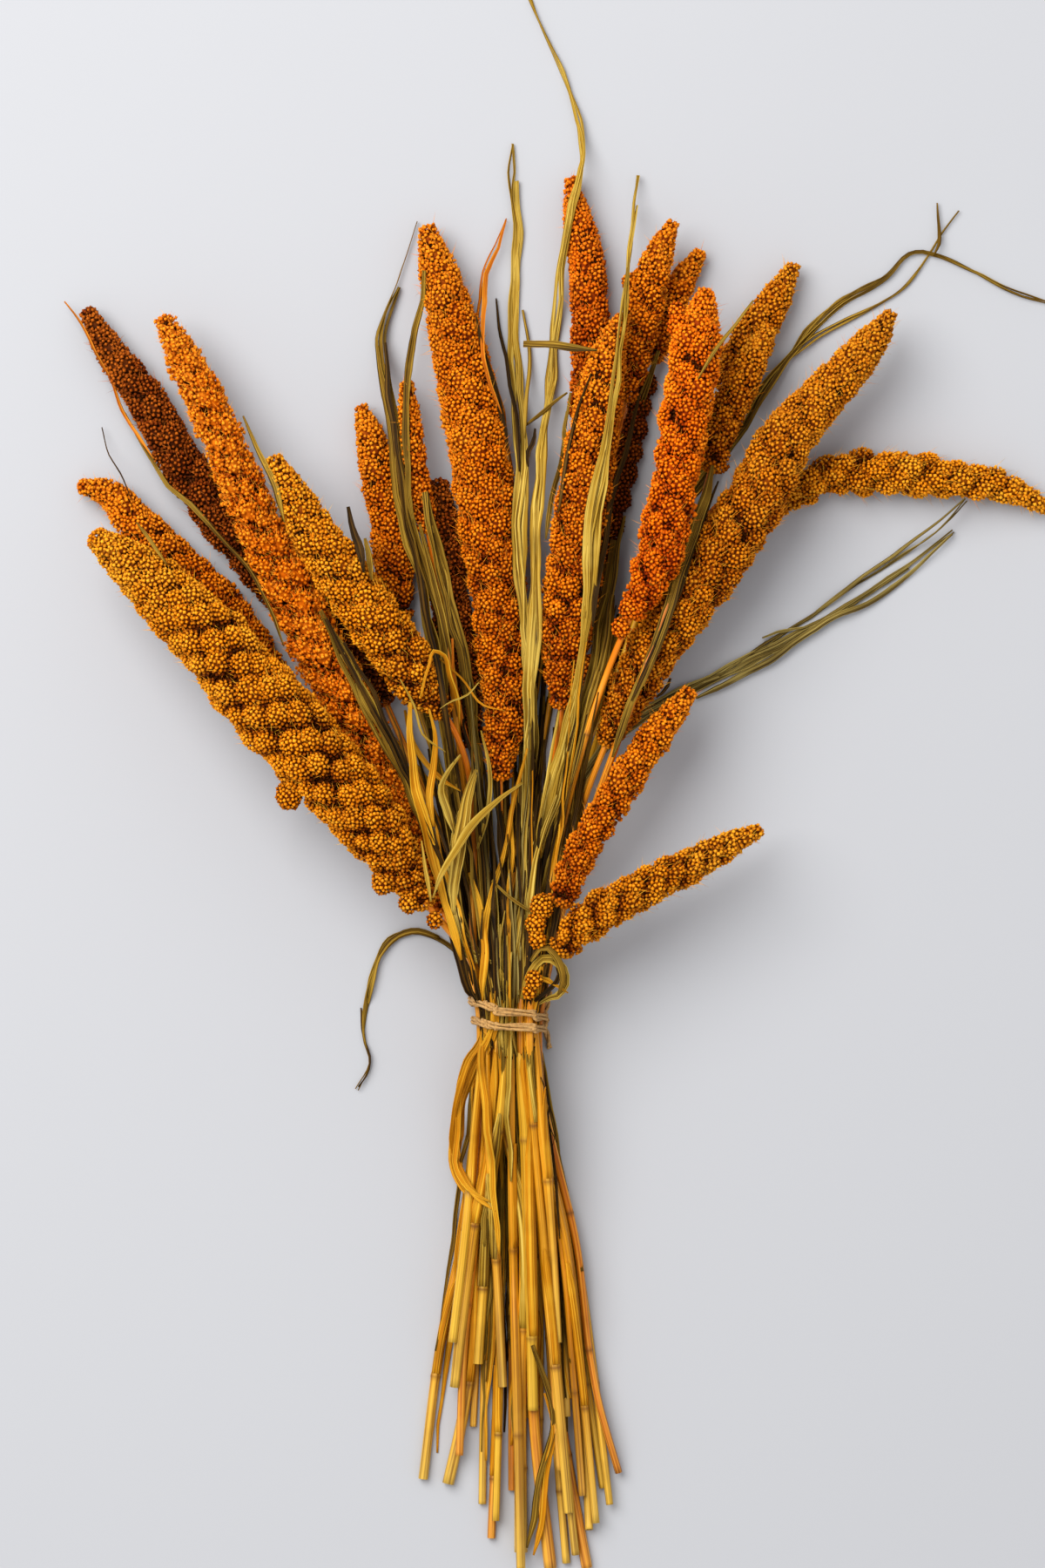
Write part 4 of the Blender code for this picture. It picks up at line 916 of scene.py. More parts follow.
# Torn leaves, curls, awns and fibres on top of the bunch: colours, how far each lies clear
# of what is under it, and its route as (x, y, width), any end first.
STRANDS = [
    # Awns at the far left
    (RUST, 0.6, [(-196, 316, 0.6), (-190, 309, 0.9), (-177, 285, 1.3), (-165, 260, 1.5),
     (-156, 247, 1.2)]),
    (OLIVE, 0.8, [(-169, 268, 1), (-158, 249, 1.5), (-150, 238, 1.8), (-132, 218, 2), (-114, 198, 1.6),
     (-97, 165, 1.4)]),
    (DARK_AND_SHADE, 0.6, [(-180, 261, 0.4), (-176, 250, 0.5), (-170, 239, 0.6), (-166, 229, 0.5)]),
    # Over right_short
    (OLIVE, 0.3, [(89, 243, 2), (84, 226, 4.6), (77, 204, 5.4), (70, 185, 5.2), (61, 160, 4.6),
     (52, 136, 3.6), (45, 116, 2.4)]),
    (DARK_AND_SHADE, 0.5, [(92, 236, 1), (83, 215, 2.2), (74, 192, 2.6), (64, 166, 2.6), (54, 140, 2)]),
    # Along sheath_left
    (DARK_AND_SHADE, 0.6, [(-80, 176, 1.4), (-68, 153, 2.4), (-56, 131, 2.8), (-45, 110, 2.8), (-36, 88, 2.6),
     (-28, 66, 2.2)]),
    (DARK_AND_SHADE, 0.6, [(-72, 166, 1), (-60, 144, 2), (-49, 121, 2.4), (-40, 99, 2.2), (-31, 76, 2)]),
    # Beside centre and left of it
    (DARK_AND_SHADE, 0.6, [(-14.5, 309, 1), (-12, 296, 2), (-8, 282, 2.4), (-3.5, 266, 2.4), (-0.8, 250, 2)]),
    (OLIVE, 0.4, [(-39, 218, 1.4), (-35, 203, 2.6), (-30, 182, 3), (-25.5, 158, 2.8), (-22, 134, 1.8)]),
    (OLIVE, 1, [(-162, 218, 0.8), (-158, 213, 1.5), (-153, 206, 1.5), (-148, 200, 1.2)]),
    (OLIVE, 1.2, [(-116, 265, 0.8), (-111, 253, 2), (-103, 235, 3), (-97, 218, 2)]),
    (DARK_AND_SHADE, 1.2, [(-70, 225, 1.5), (-68, 215, 3), (-64, 206, 3.6), (-63, 196, 2.5)]),
    (OLIVE, 1.2, [(-63, 211, 1.2), (-61, 203, 2.4), (-59, 193, 2.4)]),
    (OLIVE, 1, [(-37, 329, 1.6), (-40, 310, 2.6), (-44, 287, 3.8), (-45, 268, 3.4), (-45, 245, 2.6),
     (-42, 218, 2.4)]),
    (DARK_AND_SHADE, 0.6, [(-55, 298, 1), (-53, 279, 2.4), (-49, 249, 3), (-44, 218, 3), (-37, 184, 3),
     (-29, 146, 2.6), (-25, 112, 2.2)]),
    # Thin leaves and scraps round centre
    (RUST, 1, [(-1, 352, 0.8), (-6, 340, 1.6), (-11, 321, 2.4), (-12, 302, 2), (-9, 283, 1.6),
     (-4, 266, 1.2)]),
    (OLIVE, 1, [(6, 313, 1), (9, 294, 1.6), (8, 276, 2), (7, 256, 1.4)]),
    (DARK_AND_SHADE, 1, [(-6, 318, 0.8), (-4, 302, 1.4), (-0, 283, 1.8), (3, 264, 1.8), (5, 241, 1.6)]),
    (OLIVE, 1, [(27, 276, 1), (24, 256, 1.6), (19, 234, 2.2), (16, 211, 2)]),
    (DARK_AND_SHADE, 1, [(35, 283, 0.8), (30, 268, 1.4), (25, 249, 1.6), (21, 222, 1.6)]),
    (OLIVE, 1.2, [(6, 296, 2.4), (21, 295, 3.2), (38, 292, 2.6)]),
    (OLIVE, 0.8, [(25.5, 276, 0.8), (16, 269, 1.8), (6.5, 262, 2.4)]),
    (DARK_AND_SHADE, 0.8, [(11, 260, 1.2), (9.5, 252, 2.4), (8.7, 243, 2)]),
    (OLIVE, 0.8, [(24.7, 268, 0.8), (23.5, 257, 2), (22, 243, 2)]),
    # Among the heads on the right
    (OLIVE, 1, [(106, 314, 0.8), (99, 305, 1.4), (89, 292, 1.6), (82, 279, 1.4)]),
    (DARK_AND_SHADE, 0.8, [(57, 275, 1), (52, 256, 2), (46, 234, 2.4), (40, 203, 2.6), (35, 173, 2.4)]),
    (OLIVE, 0.8, [(50, 222, 1), (47, 203, 2), (44, 180, 2.4), (40, 158, 2.6), (33, 131, 2.4),
     (27, 104, 2)]),
    # Along grey_right and the tip of olive_right
    (GREY, 0.8, [(200, 229, 0.6), (186, 218, 1), (169, 206, 1.6), (152, 193, 2), (135, 180, 2.2)]),
    (GREY, 0.8, [(111, 169, 0.8), (122, 172, 1.4), (131, 174, 1.6)]),
    (DARK_AND_SHADE, 0.8, [(71, 150, 1), (68, 146, 2), (64, 142, 2)]),
    (GREY, 0.8, [(194, 215, 1), (177, 198, 1.6), (158, 184, 2.2), (139, 176, 2.6), (120, 163, 3),
     (101, 152, 3), (82, 142, 2.6)]),
    (OLIVE, 0.8, [(188, 360, 0.8), (188, 352, 1.4), (190, 342, 1.8), (187, 336, 1.6)]),
    # Along drooping_left
    (DARK_AND_SHADE, 0.6, [(-66, -29, 0.5), (-62, -23, 0.6), (-61, -16, 0.8), (-64, -8, 1.2), (-64, 6, 2)]),
    (OLIVE, 0.6, [(-31, 37, 1.6), (-41, 40, 2.4), (-49, 38, 2.6), (-57, 30, 2.2), (-60, 17, 1.8),
     (-63, 4, 1.4)]),
    # Curls over the lower end of left_big
    (GOLD, 1.2, [(-46, 137, 1.2), (-44, 127, 2.2), (-38, 115, 2.6), (-30, 107, 2.4), (-21, 102, 1.4)]),
    (GOLD, 1.6, [(-38, 142, 1), (-36, 155, 1.6), (-33, 163, 2), (-28, 161, 2), (-26, 151, 2.2),
     (-23, 139, 2), (-22, 130, 1.2)]),
    (STRAW, 1, [(-15, 111, 1.4), (-17, 103, 4), (-19, 89, 6), (-22, 74, 6), (-25, 62, 5), (-25, 48, 4)]),
    (GOLD, 1, [(-43, 140, 1.4), (-43, 124, 3), (-41, 104, 4), (-36, 86, 4.6), (-32, 66, 4.4),
     (-26, 48, 3.6), (-21, 28, 3)]),
    (STRAW, 1.2, [(-21, 117, 1), (-26, 111, 2), (-30, 103, 3), (-28, 93, 3.4), (-25, 82, 3)]),
    (GOLD, 1, [(-35, 137, 1), (-32, 124, 2), (-33, 112, 3), (-35, 99, 3.4), (-33, 86, 3)]),
    # Fibres and torn ends above the tie
    (STRAW, 1.6, [(-14, 149, 0.5), (-19, 143, 0.8), (-25, 141, 0.8), (-30, 137, 0.6)]),
    (GOLD, 1.4, [(-30, 160, 0.6), (-20, 150, 0.9), (-12, 139, 0.9), (-2, 136, 0.6)]),
    (STRAW, 1.2, [(-47, 150, 0.6), (-41, 138, 1), (-37, 126, 1.2), (-28, 118, 0.8)]),
    (RUST, 1.2, [(-26, 168, 0.8), (-24, 150, 1.4), (-20, 130, 1.6), (-14, 112, 1.2)]),
    (STRAW, 1, [(-12, 128, 0.6), (-8, 110, 1.6), (-10, 92, 2.2), (-14, 76, 2)]),
    (GOLD, 1.2, [(8, 120, 0.8), (3, 102, 1.8), (0, 84, 2.2), (-2, 66, 1.6)]),
    (STRAW, 1, [(20, 100, 0.8), (14, 80, 2), (10, 60, 2.6), (8, 42, 2)]),
    (STRAW, 1.4, [(6, 105, 1), (-4, 98, 2), (-14, 88, 3), (-22, 76, 3.2), (-30, 63, 2.4),
     (-33, 55, 1.4)]),
    (GOLD, 1, [(0, 86, 1), (-3, 74, 2), (-7, 59, 2.8), (-10, 44, 3), (-10, 28, 3)]),
    (STRAW, 1, [(-38, 80, 0.6), (-36, 66, 1.6), (-33, 54, 2.2)]),
    (OLIVE, 1.4, [(-8, 62, 0.8), (3, 53, 1.4), (14, 46, 1)]),
    (GOLD, 1.2, [(-17, 66, 1.5), (-13, 51, 2.4), (-11, 34, 3), (-13, 21, 3), (-12, 9, 1.6)]),
    # Beside the tie, on the right
    (STRAW, 1, [(6, 11, 2), (10, 22, 3.4), (16, 28, 4), (22, 25, 3.6), (24, 18, 3), (19, 11, 2.6),
     (12, 8, 2)]),
    (OLIVE, 1.4, [(10, 27, 1.6), (15, 33, 2.6), (20, 29, 3), (23, 21, 3), (21, 13, 2.4)]),
    (GOLD, 1.6, [(7, 18, 1.4), (13, 20, 2.6), (19, 18, 2.6), (25, 13, 1.6)]),
    (DARK_AND_SHADE, 1.6, [(11, 10, 1.4), (16, 14, 2.4), (21, 22, 2.2), (19, 28, 1.4)]),
    # On the sheaf, and along bent_loop
    (GOLD, 1.2, [(-14, -6, 1.6), (-13, -12, 3), (-11, -32, 3), (-8, -59, 2.8), (-6, -82, 2.6),
     (-4, -101, 2.4)]),
    (STRAW, 1.2, [(-0, 1, 2), (-1, -21, 2.2), (-1, -44, 2.2), (-0, -69, 2)]),
    (GOLD, 0.8, [(-11, -2, 1.6), (-19, -19, 2.2), (-24, -40, 2.4), (-25, -57, 2.4), (-21, -66, 2.6),
     (-13, -77, 2.6), (-6, -82, 1.6)]),
    (GOLD, 0.8, [(-14, -2, 1.4), (-21, -23, 1.8), (-23, -48, 2), (-24, -63, 2), (-17, -73, 2.2),
     (-7, -79, 1.4)]),
    (OLIVE, 0.8, [(-10, -79, 1.6), (-12, -89, 2.6), (-11, -98, 2.4)]),
    # Fibres on the right of the sheaf
    (DARK_AND_SHADE, 0.6, [(16, -33, 0.5), (19, -42, 0.6), (20, -48, 0.5), (19, -56, 0.4)]),
    (DARK_AND_SHADE, 0.6, [(14, -23, 0.5), (17, -33, 0.5), (18, -44, 0.5), (21, -52, 0.4)]),
    # Low in the sheaf
    (OLIVE, 0.8, [(10, -141, 1.6), (16, -158, 3), (19, -172, 3.4), (17, -186, 3.6), (13, -201, 3.6),
     (10, -217, 3), (8, -231, 2)]),
    (GOLD, 0.8, [(16, -162, 1.4), (19, -177, 2.4), (16, -200, 3), (13, -222, 3), (10, -234, 2)]),
]

# The strands that fill the bunch on both sides of the tie, in the order they are laid: label,
# which way they run, how many, how far they reach, their widths, how fast they spread on the
# left and on the right, how high the straw is that they lie on, and their colours.
# Most neck strands are near-black: painted shade between the stalks round the tie
FANS = (
    ("neck_deep", 1, 54, (50.0, 190.0), (1.2, 3.4), (0.0205, 0.0125), 9.0, (DARK_AND_SHADE, DARK_AND_SHADE, DARK_AND_SHADE, DARK_AND_SHADE, OLIVE)),
    ("neck", 1, 60, (30.0, 170.0), (0.7, 2.2), (0.0205, 0.0125), WHOLE_BUNCH,
     (DARK_AND_SHADE, DARK_AND_SHADE, STRAW, DARK_AND_SHADE, OLIVE, GOLD, DARK_AND_SHADE, DARK_AND_SHADE, GREY)),
    ("sheaf_deep", -1, 30, (60.0, 200.0), (1.6, 4.0), (0.0085, 0.0108), 8.0, (OLIVE, GOLD, OLIVE, DARK_AND_SHADE)),
    ("sheaf", -1, 16, (30.0, 140.0), (0.7, 2.0), (0.0085, 0.0108), WHOLE_BUNCH,
     (OLIVE, OLIVE, GOLD, DARK_AND_SHADE)),
)

# Straws below the tie that end in no head: routes as (x, y, radius)
STRAWS = [
    [(3.4, 3, 1.6), (5, -20, 2.4), (7, -47, 2.7), (8.4, -85, 2.8), (9.5, -123, 2.6), (10.4, -170, 2.4)],
    [(10.4, 3, 1.6), (12.6, -22, 2.1), (14.2, -44, 2.3), (16.4, -64, 2.3), (18.5, -93, 2.1), (21, -140, 2)],
    [(-5, -4, 1.4), (-10, -59, 2), (-15, -85, 2.4), (-20, -123, 2.4), (-24, -160, 2.2)],
    [(-1, -2, 1.4), (-4, -40, 2), (-7.6, -66, 2.5), (-11, -104, 2.5), (-14, -150, 2.3)],
    [(7, 1, 1.4), (11, -50, 2), (15, -100, 2.2), (21, -160, 2.1), (26, -215, 2)],
    [(-10, 2, 1.4), (-9, -50, 1.9), (-6, -100, 2), (-3, -160, 2)],
    [(1, 0, 1.2), (1, -60, 1.8), (2, -110, 2.1), (4, -190, 2.1), (5, -240, 2)],
    [(-11, 1, 1.2), (-15, -45, 1.8), (-19, -90, 2), (-25, -140, 2)],
]

# Loose lobes of grain: the stalk beside which they lie, and each one's x, y, lift and radius
LOOSE_LOBES = {
    "left_big": [(-103.7, 121.6, -1, 5.0), (-95.8, 110.6, 0, 5.2), (-95.4, 99.9, -3, 5.4),
                 (-55.1, 61.9, 0, 4.4), (-43.7, 53.2, 2, 3.8), (-32.3, 45.6, 3, 3.0)],
    "right_of_centre": [(34.2, 155.8, 1, 4.2), (29.6, 147.4, 2, 3.6)],
    "vivid": [(48.3, 172.1, 2, 3.6), (52.1, 180.5, 3, 4.2), (73.2, 303.0, 1, 4.4),
              (72.4, 309.5, 1, 3.2)],
    "low_braided": [(14.1, 51.3, 2, 4.6), (11.4, 43.7, 2, 4.0), (12.2, 36.9, 2, 3.4),
                    (10.6, 19.5, 5, 3.4), (8.6, 14.0, 5, 2.5)],
    "upper_right": [(52.6, 324.0, 1, 3.2)],
    # A head low in shadow, as loose lobes in brown: painted shade
    "right_dark": [(60.0, 280.0, -30, 4.4), (57.0, 271.0, -30, 5.0), (55.0, 261.0, -30, 5.4),
                   (52.5, 251.0, -30, 5.6), (50.0, 241.0, -30, 5.8), (47.5, 230.0, -30, 5.6),
                   (45.0, 219.0, -30, 5.2), (43.0, 209.0, -30, 4.6)],
}


class MilletHeadSettings(bpy.types.PropertyGroup):
    grain_radius: FloatProperty(
        name="Grain radius", description="Half the thickness of a grain, in millimetres",
        default=1.1, min=0.5, max=2.0)
    grain_area: FloatProperty(
        name="Grain area", description="Lobe surface that one grain covers, in square millimetres",
        default=3.12, min=2.0, max=10.0)
    bristle_length: FloatProperty(
        name="Bristle length", description="Length of an average bristle, in millimetres",
        default=6.0, min=0.0, max=20.0)
    bristles_per_grain: FloatProperty(
        name="Bristles per grain", description="Average number of bristles that a grain carries",
        default=0.24, min=0.0, max=2.0)
    # Painted shade: the colour that grains take deep between the lobes and at their feet
    crevice_shade: FloatVectorProperty(
        name="Crevice colour", description="Colour deep between the lobes",
        subtype="COLOR", default=(0.04, 0.009, 0.0003), min=0.0, max=1.0)


class MilletStrawSettings(bpy.types.PropertyGroup):
    gold: FloatVectorProperty(
        name="Golden straw", description="Colour of the culms near the tie",
        subtype="COLOR", default=(0.62, 0.24, 0.002), min=0.0, max=1.0)
    pale: FloatVectorProperty(
        name="Pale straw", description="Colour of the culms near their cut ends",
        subtype="COLOR", default=(0.56, 0.34, 0.05), min=0.0, max=1.0)
    # Also the painted shade inside the hollow cut ends
    ring: FloatVectorProperty(
        name="Node ring", description="Colour of the rings on the culms",
        subtype="COLOR", default=(0.14, 0.045, 0.006), min=0.0, max=1.0)
    twine: FloatVectorProperty(
        name="Twine", description="Colour of the jute twine",
        subtype="COLOR", default=(0.5, 0.265, 0.075), min=0.0, max=1.0)


class MilletStageSettings(bpy.types.PropertyGroup):
    floor: FloatVectorProperty(
        name="Floor", description="Colour of the floor", subtype="COLOR",
        default=(0.45, 0.452, 0.465), min=0.0, max=1.0)
    camera_height: FloatProperty(
        name="Camera height", description="Height of the camera above the floor",
        default=3.0, min=1.0, max=10.0, unit="LENGTH")
    key_power: FloatProperty(
        name="Key light power", description="Power of the soft light at the upper left, in watts",
        default=74.0, min=0.0, max=500.0)
    ambient: FloatProperty(
        name="Ambient light", description="Strength of the even light from all round",
        default=0.76, min=0.0, max=3.0)


def linear(rgb):
    """A colour given as sRGB from 0 to 255, as linear values."""
    share = np.array(rgb, float) / 255
    return tuple(np.where(share <= 0.04045, share / 12.92, ((share + 0.055) / 1.055) ** 2.4))


LAID = {}


def laid():
    """The stations of every piece, laid down once and then kept."""
    if LAID:
        return LAID
    pile = Pile()
    places = neck_places()
    feet = feet_for(places)
    LAID.update(heads={}, culms={}, leaves={}, pile=pile)
    for name in LAYING:
        if name in LEAVES:
            top = LAID["culms"]["leafy"][0, 2] if "leafy" in LAID["culms"] else 0.0
            LAID["leaves"][name] = lay_leaf(pile, name, places.get(name, 0.0), top)
            continue
        head, culm = lay_stalk(pile, name, places[name], feet[name])
        if len(head):
            LAID["heads"][name] = head
        LAID["culms"][name] = culm
    return LAID


def straw_pile(height):
    """The culms and leaves below a height, as the pile that strands among them lie on."""
    straws = Pile()
    balls = laid()["pile"].balls
    straws.add(balls[(balls[:, 3] < THINNEST_HEAD) & (balls[:, 2] < height)])
    return straws


def dip(y, depth, slope):
    """How far a strand sinks into the bunch so as to pass under the twine."""
    return depth * np.clip(1 + (DIP_REACH - np.abs(y)) / slope, 0, 1)


def lay_straw(pile, route):
    """Stations (x, y, z, radius) of a straw laid over the pile, which it joins."""
    plan = np.array(route, float)
    knots = knots_of(plan)
    fine = smooth_values(knots, plan, spaced(0.0, knots[-1], PROBE_STEP))
    need = pile.least_height(fine[:, 0], fine[:, 1], fine[:, 2] * STRAW_SETTLE)
    at = knots_of(fine[:, :2])
    height = drape(np.maximum(need, fine[:, 2]), at, np.full(len(fine), LEAF_SLOPE))
    height -= dip(fine[:, 1], STRAW_DIP, STRAW_SLOPE)
    stations = np.column_stack([fine[:, :2], height, fine[:, 2]])
    pile.add(stations)
    return stations


def lay_strand(pile, route, lift):
    """Stations (x, y, z, width) of a thin strand laid over the pile, which it joins."""
    plan = np.array(route, float)
    knots = knots_of(plan)
    where = spaced(0.0, knots[-1], PROBE_STEP)
    dense = smooth_values(knots, plan, where)
    outside = dense[:, 0] - np.clip(dense[:, 0], -TIE_EDGE, TIE_EDGE)
    outside[np.abs(dense[:, 0]) > NECK_REACH] = 0.0
    dense[:, 0] -= dip(dense[:, 1], 1.0, DIP_SLOPE) * outside
    radius = np.full(len(where), STRAND_GAP + SHEET_HALF - PIECE_GAP)
    need = pile.least_height(dense[:, 0], dense[:, 1], radius) + lift
    height = drape(np.maximum(need, STRAND_LOWEST + lift), where, np.full(len(where), LEAF_SLOPE))
    height -= dip(dense[:, 1], TIE_DIP, DIP_SLOPE)
    pile.add(np.column_stack([dense[:, :2], height, np.full(len(where), SHEET_HALF)]))
    return np.column_stack([dense[:, :2], height, dense[:, 2]])


def fan_routes(way, count, reach, widths, spread, colours, draw):
    """Routes of strands from the tie, spread as the bunch spreads: upwards or downwards."""
    points = len(FAN_WIDTHS)
    for number in range(count):
        x = draw.uniform(-FAN_HALF_WIDTH, FAN_HALF_WIDTH)
        far = reach[0] + (reach[1] - reach[0]) * draw.uniform()
        rate = spread[0] if x < 0 else spread[1]
        width = draw.uniform(*widths)
        start = -way * FAN_OVERLAP * draw.uniform(*FAN_STARTS)
        ys = np.linspace(start, way * far, points)
        bend = draw.normal(0, FAN_BEND) * np.sin(np.linspace(0, FAN_BOW, points))
        bend = bend + draw.normal(0, FAN_DRIFT) * (ys - start)
        xs = x * (1 + rate * np.maximum(way * ys, 0)) + bend
        route = np.column_stack([xs, ys, width * np.array(FAN_WIDTHS)])[::-1]
        yield colours[number % len(colours)], route


def unit(vectors):
    """Each vector brought to length one."""
    return vectors / np.maximum(np.linalg.norm(vectors, axis=-1, keepdims=True), 1e-9)


def swung(turn, side, up):
    """Vectors turned by each angle from sideways towards upward."""
    return np.cos(turn)[:, None] * side + np.sin(turn)[:, None] * up


def keep_above(points, height):
    """Raises the points that are lower than a height above the floor."""
    points[:, 2] = np.maximum(points[:, 2], height)


def make_piece(name, parts, finishes, nodes=()):
    """One mesh object from parts of (points, faces, finish index, shade), riding the bundle.

    Points are millimetres from the tie. Shade is three values a point, read by the finish.
    """
    points = np.vstack([part[0] for part in parts])
    keep_above(points, LOWEST)
    shade = np.vstack([part[3] for part in parts])
    corners = []
    starts = []
    finish = []
    first = 0
    corner = 0
    for part in parts:
        for block in part[1]:
            corners.append((block + first).ravel())
            starts.append(corner + np.arange(len(block)) * block.shape[1])
            corner += block.size
            finish.append(np.full(len(block), part[2]))
        first += len(part[0])
    corners, starts, finish = (np.concatenate(run).astype(np.int32) for run in (corners, starts, finish))
    data = bpy.data.meshes.new(name)
    data.vertices.add(len(points))
    placed = (points + np.array([TIE_X, TIE_Y, 0.0])) * MM
    data.vertices.foreach_set("co", placed.astype(np.float32).ravel())
    data.loops.add(len(corners))
    data.loops.foreach_set("vertex_index", corners)
    data.polygons.add(len(starts))
    data.polygons.foreach_set("loop_start", starts)
    data.polygons.foreach_set("material_index", finish)
    data.update(calc_edges=True)
    data.shade_smooth()
    for label, columns in (("shade", shade[:, :3]), ("fibre", shade[:, 3:])):
        if columns.shape[1] == 3:
            values = data.attributes.new(label, "FLOAT_VECTOR", "POINT")
            values.data.foreach_set("vector", columns.astype(np.float32).ravel())
    for made in finishes:
        data.materials.append(made)
    piece = bpy.data.objects.new(name, data)
    bpy.context.scene.collection.objects.link(piece)
    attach(piece, "root")
    if nodes:
        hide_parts(*nodes)
    return piece


def ring_faces(rings, sides, closed=False):
    """Quads between rings of points, and where the run isn't a loop a fan at each end."""
    i, j = np.meshgrid(np.arange(rings if closed else rings - 1), np.arange(sides), indexing="ij")
    i, j = i.ravel(), j.ravel()
    here = i * sides
    ahead = (i + 1) % rings * sides
    beside = (j + 1) % sides
    quads = np.column_stack([here + j, ahead + j, ahead + beside, here + beside])
    if closed:
        return [quads]
    k = np.arange(sides)
    middle = rings * sides
    last = (rings - 1) * sides
    near = np.column_stack([np.full(sides, middle), k, (k + 1) % sides])
    far = np.column_stack([np.full(sides, middle + 1), last + (k + 1) % sides, last + k])
    return [quads, near, far]


def turns_round(sides):
    """The angle of each point of a ring."""
    return 2 * math.pi * np.arange(sides) / sides


def round_rings(line, radii, side, up, sides):
    """The points of a ring about each point of a line, ring after ring."""
    turn = turns_round(sides)[None, :, None]
    spoke = np.cos(turn) * side[:, None] + np.sin(turn) * up[:, None]
    return (line[:, None] + radii[:, None, None] * spoke).reshape(-1, 3)


def cross_vectors(line, closed=False):
    """Sideways and upward unit vectors at each point of a line or of a closed loop."""
    if not closed:
        return frame_along(line)[1:]
    forward = unit(np.roll(line, -1, axis=0) - np.roll(line, 1, axis=0))
    side = unit(np.cross(forward, LOOP_AXIS))
    return side, np.cross(forward, side)


def tube(line, radii, sides, closed=False):
    """Points and faces of a round rod along a line, with closed ends unless it is a loop."""
    points = round_rings(line, radii, *cross_vectors(line, closed), sides)
    if not closed:
        points = np.vstack([points, line[:1], line[-1:]])
    return points, ring_faces(len(line), sides, closed)


def repeated(faces, count, corners):
    """The faces of so many copies of a shape that has so many corners."""
    return [(faces[None] + (np.arange(count) * corners)[:, None, None]).reshape(-1, faces.shape[1])]


def copies(shape, faces, centres, axes, sizes, spins):
    """Points and faces of many copies of one closed shape, its z turned to each axis."""
    across = np.where(np.abs(axes[:, 2:]) < 0.9, [[0.0, 0.0, 1.0]], [[1.0, 0.0, 0.0]])
    level = unit(np.cross(axes, across))
    upright = np.cross(axes, level)
    first = swung(spins, level, upright)
    second = np.cross(axes, first)
    points = centres[:, None, :] + sizes[:, None, :1] * (
        shape[None, :, :1] * first[:, None, :] + shape[None, :, 1:2] * second[:, None, :])
    points = points + sizes[:, None, 1:] * shape[None, :, 2:] * axes[:, None, :]
    return points.reshape(-1, 3), repeated(faces, len(centres), len(shape))


def modelled_spike(sides):
    """The one closed spike that bristles are copies of: its points and triangles."""
    bpy.ops.object.select_all(action="DESELECT")
    bpy.ops.mesh.primitive_cone_add(vertices=sides, radius1=1.0, radius2=0.0, depth=1.0)
    spike = bpy.context.object
    bpy.ops.object.mode_set(mode="EDIT")
    bpy.ops.mesh.quads_convert_to_tris()
    bpy.ops.object.mode_set(mode="OBJECT")
    shape = np.array([vert.co[:] for vert in spike.data.vertices])
    shape[:, 2] += 0.5
    faces = np.array([face.vertices[:] for face in spike.data.polygons])
    bpy.ops.object.delete()
    return shape, faces


def modelled_bead():
    """The one closed bead that grains are copies of: its points and triangles."""
    bpy.ops.object.select_all(action="DESELECT")
    bpy.ops.mesh.primitive_cone_add(vertices=4, radius1=1.0, radius2=0.0, depth=1.0,
                                    end_fill_type="TRIFAN")
    bead = bpy.context.object
    shape = np.array([vert.co[:] for vert in bead.data.vertices])
    shape[:, 2] += 0.5
    shape[np.hypot(shape[:, 0], shape[:, 1]) + shape[:, 2] < 0.1, 2] = BEAD_FOOT
    faces = np.array([face.vertices[:] for face in bead.data.polygons])
    bpy.ops.object.delete()
    return shape, faces


def dome_shape():
    """The low dome under the grains of a lobe: (across, along, height) points and triangles."""
    points = [(0.0, 0.0, 1.0)]
    for ring in DOME_RINGS:
        level, height = math.sin(math.radians(ring)), math.cos(math.radians(ring))
        for turn in turns_round(DOME_SIDES):
            points.append((level * math.cos(turn), level * math.sin(turn), height))
    points.append((0.0, 0.0, DOME_FOOT))
    faces = []
    last = len(points) - 1
    for k in range(DOME_SIDES):
        beside = (k + 1) % DOME_SIDES
        upper, lower = 1 + k, 1 + DOME_SIDES + k
        upper_beside, lower_beside = 1 + beside, 1 + DOME_SIDES + beside
        faces += [(0, upper, upper_beside), (upper, lower, lower_beside),
                  (upper, lower_beside, upper_beside), (last, lower_beside, lower)]
    return np.array(points), np.array(faces)


def along_spine(spine, at, s):
    """Rows of the spine's columns read at each distance from the tip."""
    return np.column_stack([np.interp(s, at, spine[:, k]) for k in range(spine.shape[1])])


